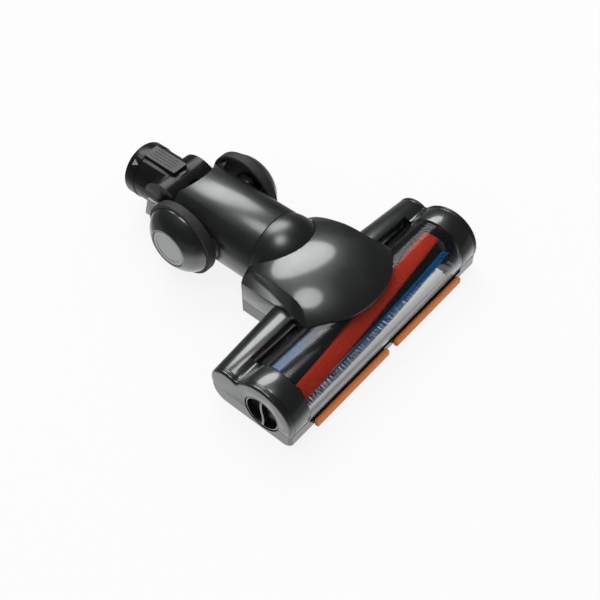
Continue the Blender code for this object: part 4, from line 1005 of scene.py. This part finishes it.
def make_soft_band(index, rng):
    """Dense red pile wound round the bar, with single fibres standing a little proud."""
    start = BAND_START + 180.0 * index
    band = loft(f"red_pile_{index + 1}",
                [band_ring(x, strip_angle(start, x), rng) for x in bar_stations(BAND_COLUMNS)])
    fibres = []
    for _ in range(BAND_FIBRES):
        x = rng.uniform(-PILE_HALF_LENGTH, PILE_HALF_LENGTH)
        angle = strip_angle(start, x) + BAND_ANGLE * rng.uniform(-0.5, 0.5)
        lean = rng.uniform(-FIBRE_LEAN, FIBRE_LEAN)
        root = brush_point(x, angle, BRUSH_TIP_R - FIBRE_ROOT)
        sway = rng.uniform(-FIBRE_SWAY, FIBRE_SWAY)
        tip_r = BRUSH_TIP_R - rng.uniform(0.0, FIBRE_SHORT)
        fibres.append((root, brush_point(x + sway, angle + lean, tip_r)))
    add_spikes(band, fibres, FIBRE_R)
    finish_piece(band, "brush", "red_nylon", [f"soft_band_{index + 1}"], 60)


def make_comb(index, rng):
    """A row of stiff blue tufts, splayed a little towards their tips, on a low root strip."""
    start = BAND_START + 180.0 * index - COMB_LEAD
    low = COMB_THICKNESS / 2
    rings = []
    for x in bar_stations(COMB_COLUMNS):
        angle = strip_angle(start, x)
        rings.append([brush_point(x, angle - low, CORE_R + GAP), brush_point(x, angle + low, CORE_R + GAP),
                      brush_point(x, angle + low * COMB_TAPER, CORE_R + COMB_ROOT_HEIGHT),
                      brush_point(x, angle - low * COMB_TAPER, CORE_R + COMB_ROOT_HEIGHT)])
    comb = loft(f"blue_tufts_{index + 1}", rings)
    bristles = []
    pitch = 2 * PILE_HALF_LENGTH / COMB_TEETH
    for tooth in range(COMB_TEETH):
        middle = -PILE_HALF_LENGTH + pitch * (tooth + 0.5)
        for _ in range(TUFT_BRISTLES):
            spot = rng.uniform(-TUFT_SPREAD, TUFT_SPREAD)
            x = middle + pitch * spot
            across = rng.uniform(-TUFT_ACROSS, TUFT_ACROSS) * COMB_THICKNESS
            angle = strip_angle(start, x)
            root = brush_point(x, angle + across * TUFT_GATHER, CORE_R + BRISTLE_ROOT)
            splay = pitch * spot * TUFT_SPLAY + rng.uniform(-FIBRE_SWAY, FIBRE_SWAY)
            tip_r = BRUSH_TIP_R - rng.uniform(0.0, BRISTLE_SHORT)
            bristles.append((root, brush_point(x + splay, angle + across, tip_r)))
    add_spikes(comb, bristles, BRISTLE_R)
    finish_piece(comb, "brush", "blue_bristle", [f"bristle_comb_{index + 1}"], 40)


def feed(tree, socket, value):
    """Give a socket a plain value or link another node's output to it."""
    if isinstance(value, bpy.types.NodeSocket):
        tree.links.new(value, socket)
    else:
        socket.default_value = value


def add_node(tree, kind, **values):
    """A shader node with its inputs, named with _ for a space."""
    node = tree.nodes.new("ShaderNode" + kind)
    for name, value in values.items():
        feed(tree, node.inputs[name.replace("_", " ")], value)
    return node


def add_math(tree, operation, *values):
    node = tree.nodes.new("ShaderNodeMath")
    node.operation = operation
    for socket, value in zip(node.inputs, values):
        feed(tree, socket, value)
    return node.outputs[0]


class Finish:
    """One node-built material."""

    def __init__(self, name, colour, roughness, metallic=0.0):
        self.material = bpy.data.materials.new(name)
        self.material.use_nodes = True
        self.tree = self.material.node_tree
        self.shader = self.tree.nodes["Principled BSDF"]
        self.set(Base_Color=(*colour, 1.0), Roughness=roughness, Metallic=metallic)
        self.colour = colour
        self.space = self.tree.nodes.new("ShaderNodeTexCoord").outputs["Object"]

    def set(self, **values):
        for name, value in values.items():
            self.shader.inputs[name.replace("_", " ")].default_value = value

    def link(self, start, end):
        self.tree.links.new(start, end)

    def noise(self, scale, detail=2.0, stretch=(1.0, 1.0, 1.0)):
        place = add_node(self.tree, "Mapping", Scale=stretch, Vector=self.space)
        node = add_node(self.tree, "TexNoise", Scale=scale, Detail=detail, Vector=place.outputs["Vector"])
        return node.outputs["Fac"]

    def remap(self, source, low, high, from_low=NOISE_LOW, from_high=NOISE_HIGH):
        node = add_node(self.tree, "MapRange", Value=source, From_Min=from_low, From_Max=from_high,
                        To_Min=low, To_Max=high)
        return node.outputs["Result"]

    def tint(self, source, low, high):
        """Vary the base colour between two shades."""
        node = add_node(self.tree, "ValToRGB", Fac=source)
        for element, position, share in zip(node.color_ramp.elements, (NOISE_LOW, NOISE_HIGH), (low, high)):
            element.position = position
            element.color = (*(value * share for value in self.colour), 1.0)
        self.link(node.outputs["Color"], self.shader.inputs["Base Color"])

    def rough(self, source, low, high):
        self.link(self.remap(source, low, high), self.shader.inputs["Roughness"])

    def bump(self, source, strength, distance):
        node = add_node(self.tree, "Bump", Strength=strength, Distance=distance, Height=source)
        self.link(node.outputs["Normal"], self.shader.inputs["Normal"])


def gunmetal(roughness, coat, coat_roughness=0.13):
    """Glossy moulded plastic with fine metallic flake under a clear skin."""
    finish = Finish("gunmetal_plastic_look", (0.094, 0.101, 0.098), roughness, 0.90)
    finish.tint(finish.noise(5200.0, 1.0), 0.82, 1.18)
    finish.rough(finish.noise(60.0, 3.0), roughness * 0.85, roughness * 1.15)
    finish.set(Coat_Weight=coat, Coat_Roughness=coat_roughness, Coat_IOR=1.72)
    return finish.material


def black_plastic():
    finish = Finish("black_plastic_look", (0.010, 0.010, 0.0105), 0.26)
    finish.rough(finish.noise(90.0, 3.0), 0.22, 0.30)
    finish.bump(finish.noise(2600.0, 2.0), 0.08, 0.0001)
    finish.set(IOR=1.42)
    return finish.material


def smoked_window():
    """Clear smoked shell; it turns more opaque towards its edges and carries a painted pale reflection of the
    floor low on its front.
    """
    finish = Finish("smoked_window_look", (0.016, 0.018, 0.021), 0.16)
    facing = add_node(finish.tree, "LayerWeight", Blend=FACING_BLEND)
    edge = finish.remap(facing.outputs["Facing"], *EDGE_COVER)
    # A pale grey-blue, more opaque cover low on the front: a painted reflection of the floor
    place = add_node(finish.tree, "SeparateXYZ", Vector=finish.space)
    front = finish.remap(place.outputs["Y"], 1.0, 0.0, *(BRUSH_Y + y for y in PAINTED_REFLECTION_Y))
    low = finish.remap(place.outputs["Z"], 1.0, 0.0, *PAINTED_REFLECTION_Z)
    painted_reflection = add_math(finish.tree, "MULTIPLY", front, low)
    cover = add_math(finish.tree, "MULTIPLY_ADD", painted_reflection, PAINTED_REFLECTION_COVER, edge)
    finish.link(cover, finish.shader.inputs["Alpha"])
    ramp = add_node(finish.tree, "ValToRGB", Fac=painted_reflection)
    ramp.color_ramp.elements[0].color = (*finish.colour, 1.0)
    ramp.color_ramp.elements[1].color = (*PAINTED_REFLECTION_COLOUR, 1.0)
    finish.link(ramp.outputs["Color"], finish.shader.inputs["Base Color"])
    finish.rough(finish.noise(40.0, 2.0), 0.14, 0.18)
    finish.set(Coat_Weight=1.0, Coat_Roughness=0.17, Coat_IOR=2.3, IOR=1.58)
    return finish.material


def tyre_rubber():
    finish = Finish("tyre_rubber_look", (0.034, 0.034, 0.034), 0.60)
    finish.tint(finish.noise(300.0, 3.0), 0.85, 1.2)
    finish.bump(finish.noise(1800.0, 3.0), 0.25, 0.0002)
    return finish.material


def pile(name, colour, sheen, scale):
    finish = Finish(name, colour, 0.85)
    finish.tint(finish.noise(scale, 3.0), 0.72, 1.22)
    finish.bump(finish.noise(scale * 1.6, 3.0), 0.5, 0.0004)
    finish.set(Sheen_Weight=sheen, Sheen_Roughness=0.5)
    return finish.material


def blue_bristle():
    finish = Finish("blue_bristle_look", (0.004, 0.33, 0.80), 0.42)
    finish.tint(finish.noise(900.0, 2.0, (1.0, 0.05, 0.05)), 0.75, 1.35)
    return finish.material


def metal(name, colour, roughness):
    finish = Finish(name, colour, roughness, 1.0)
    finish.rough(finish.noise(900.0, 2.0, (0.05, 1.0, 1.0)), roughness * 0.75, roughness * 1.3)
    return finish.material


def grey_disc():
    finish = Finish("grey_disc_look", (0.33, 0.34, 0.34), 0.28, 0.15)
    finish.rough(finish.noise(120.0, 2.0), 0.24, 0.34)
    finish.set(Coat_Weight=0.4, Coat_Roughness=0.15)
    return finish.material


def make_camera():
    data = bpy.data.cameras.new("photo_camera")
    data.lens = LENS
    data.sensor_width = SENSOR
    data.clip_start = CLIP_START
    camera = bpy.data.objects.new("photo_camera", data)
    bpy.context.scene.collection.objects.link(camera)
    right = CAMERA_RIGHT.normalized()
    up = (CAMERA_UP - right * CAMERA_UP.dot(right)).normalized()
    back = right.cross(up)
    turn = Matrix((right, up, back)).transposed()
    camera.matrix_world = Matrix.Translation(CAMERA_FROM_BRUSH + Vector((0, BRUSH_Y, 0))) @ turn.to_4x4()
    bpy.context.scene.camera = camera


def make_soft_box(name, direction, distance, width, height, watts):
    data = bpy.data.lights.new(name, "AREA")
    data.shape = "ELLIPSE"
    data.size = width
    data.size_y = height
    data.energy = watts
    lamp = bpy.data.objects.new(name, data)
    bpy.context.scene.collection.objects.link(lamp)
    lamp.location = AIM + direction.normalized() * distance
    lamp.rotation_euler = direction.to_track_quat("Z", "Y").to_euler()


def make_floor():
    """Pale sheet that the camera sees as the white of the background."""
    bm = bmesh.new()
    bmesh.ops.create_grid(bm, x_segments=1, y_segments=1, size=FLOOR_SIZE / 2)
    floor = new_object("floor", mesh_from(bm, "floor"))
    finish = Finish("floor_white", (FLOOR_SHADE,) * 3, FLOOR_ROUGH)
    tree = finish.tree
    facing = add_node(tree, "LayerWeight").outputs["Facing"]
    gloss = add_node(tree, "MapRange", Value=facing, From_Min=1 - STEEP_RAY, From_Max=1 - FLAT_RAY,
                     To_Min=GLOSS_PALE, To_Max=GLOSS_DARK)
    gloss.interpolation_type = "SMOOTHSTEP"
    to_camera = add_node(tree, "LightPath").outputs["Is Camera Ray"]
    bright = add_math(tree, "MAXIMUM", gloss.outputs["Result"], to_camera)
    glow = add_node(tree, "Emission", Color=(1.0, 1.0, 1.0, 1.0), Strength=bright)
    mix = add_node(tree, "MixShader", Fac=add_math(tree, "MULTIPLY", seen_rays(tree), FLOOR_GLOW))
    tree.links.new(finish.shader.outputs["BSDF"], mix.inputs[1])
    tree.links.new(glow.outputs["Emission"], mix.inputs[2])
    tree.links.new(mix.outputs["Shader"], tree.nodes["Material Output"].inputs["Surface"])
    floor.data.materials.append(finish.material)


def seen_rays(tree):
    """1 for rays from the camera, a mirror or a window, 0 for light on the object."""
    path = tree.nodes.new("ShaderNodeLightPath")
    total = path.outputs["Is Camera Ray"]
    for name in ("Is Glossy Ray", "Is Transmission Ray"):
        total = add_math(tree, "MAXIMUM", total, path.outputs[name])
    return total


def make_world():
    world = bpy.data.worlds.new("studio")
    bpy.context.scene.world = world
    world.use_nodes = True
    tree = world.node_tree
    path = tree.nodes.new("ShaderNodeLightPath")
    tones = [("Is Glossy Ray", STUDIO_DARK), ("Is Transmission Ray", STUDIO_DARK), ("Is Camera Ray", 1.0)]
    shade = tree.nodes["Background"]
    shade.inputs["Color"].default_value = (WORLD_FILL, WORLD_FILL, WORLD_FILL, 1.0)
    for ray, tone in tones:
        part = add_node(tree, "Background", Color=(tone, tone, tone, 1.0))
        mix = add_node(tree, "MixShader", Fac=path.outputs[ray])
        tree.links.new(shade.outputs[0], mix.inputs[1])
        tree.links.new(part.outputs[0], mix.inputs[2])
        shade = mix
    tree.links.new(shade.outputs[0], tree.nodes["World Output"].inputs["Surface"])


LOOKS = {
    "gunmetal_plastic": gunmetal(0.37, 1.0),
    "black_plastic": black_plastic(),
    "smoked_window": smoked_window(),
    "tyre_rubber": tyre_rubber(),
    "orange_strip": pile("orange_strip_look", (0.88, 0.25, 0.060), 0.35, 1400.0),
    "red_nylon": pile("red_nylon_look", (0.96, 0.055, 0.004), 0.05, 1100.0),
    "blue_bristle": blue_bristle(),
    "steel": metal("steel_look", (0.55, 0.55, 0.56), 0.30),
    "brass": metal("brass_look", (0.70, 0.50, 0.20), 0.28),
    "grey_disc": grey_disc(),
}
ELBOW_LOOK = gunmetal(0.36, 0.6, 0.27)
NECK_LOOK = gunmetal(0.42, 0.9, 0.22)

# Nodes that show as they are packed
KEPT_NODES = {
    "gunmetal_plastic": ["base_plate"],
    "black_plastic": ["window_seal", "swivel_seal", "contact_block", "motor_pulley", "drive_belt"],
    "steel": ["base_screw_1", "base_screw_2", "base_screw_3", "base_screw_4", "pivot_pin_left",
              "pivot_pin_right", "tilt_pin_left", "tilt_pin_right", "axle_left", "axle_right", "motor_can"],
    "brass": ["contact_pin_left", "contact_pin_right", "lock_bush", "drive_bush"],
    "grey_disc": ["drive_pulley"],
}


def paint_kept_nodes():
    for slot, names in KEPT_NODES.items():
        for name in names:
            mesh = NODES[name].data
            mesh.materials.clear()
            mesh.materials.append(LOOKS[slot])
            smooth(mesh)


def make_object():
    paint_kept_nodes()
    for make in (make_upper_shell, make_end_caps, make_dome, make_window, make_strips, make_elbow, make_neck):
        make()
    for side, sign in SIDES:
        make_wheel(side, sign)
    for make in (make_connector, make_arrow, make_lock, make_core):
        make()
    rng = random.Random(BRISTLE_SEED)
    for index in range(2):
        make_soft_band(index, rng)
        make_comb(index, rng)


bpy.context.scene.view_settings.view_transform = "Standard"
make_camera()
make_world()
make_floor()
for soft_box in SOFT_BOXES:
    make_soft_box(*soft_box)
make_object()
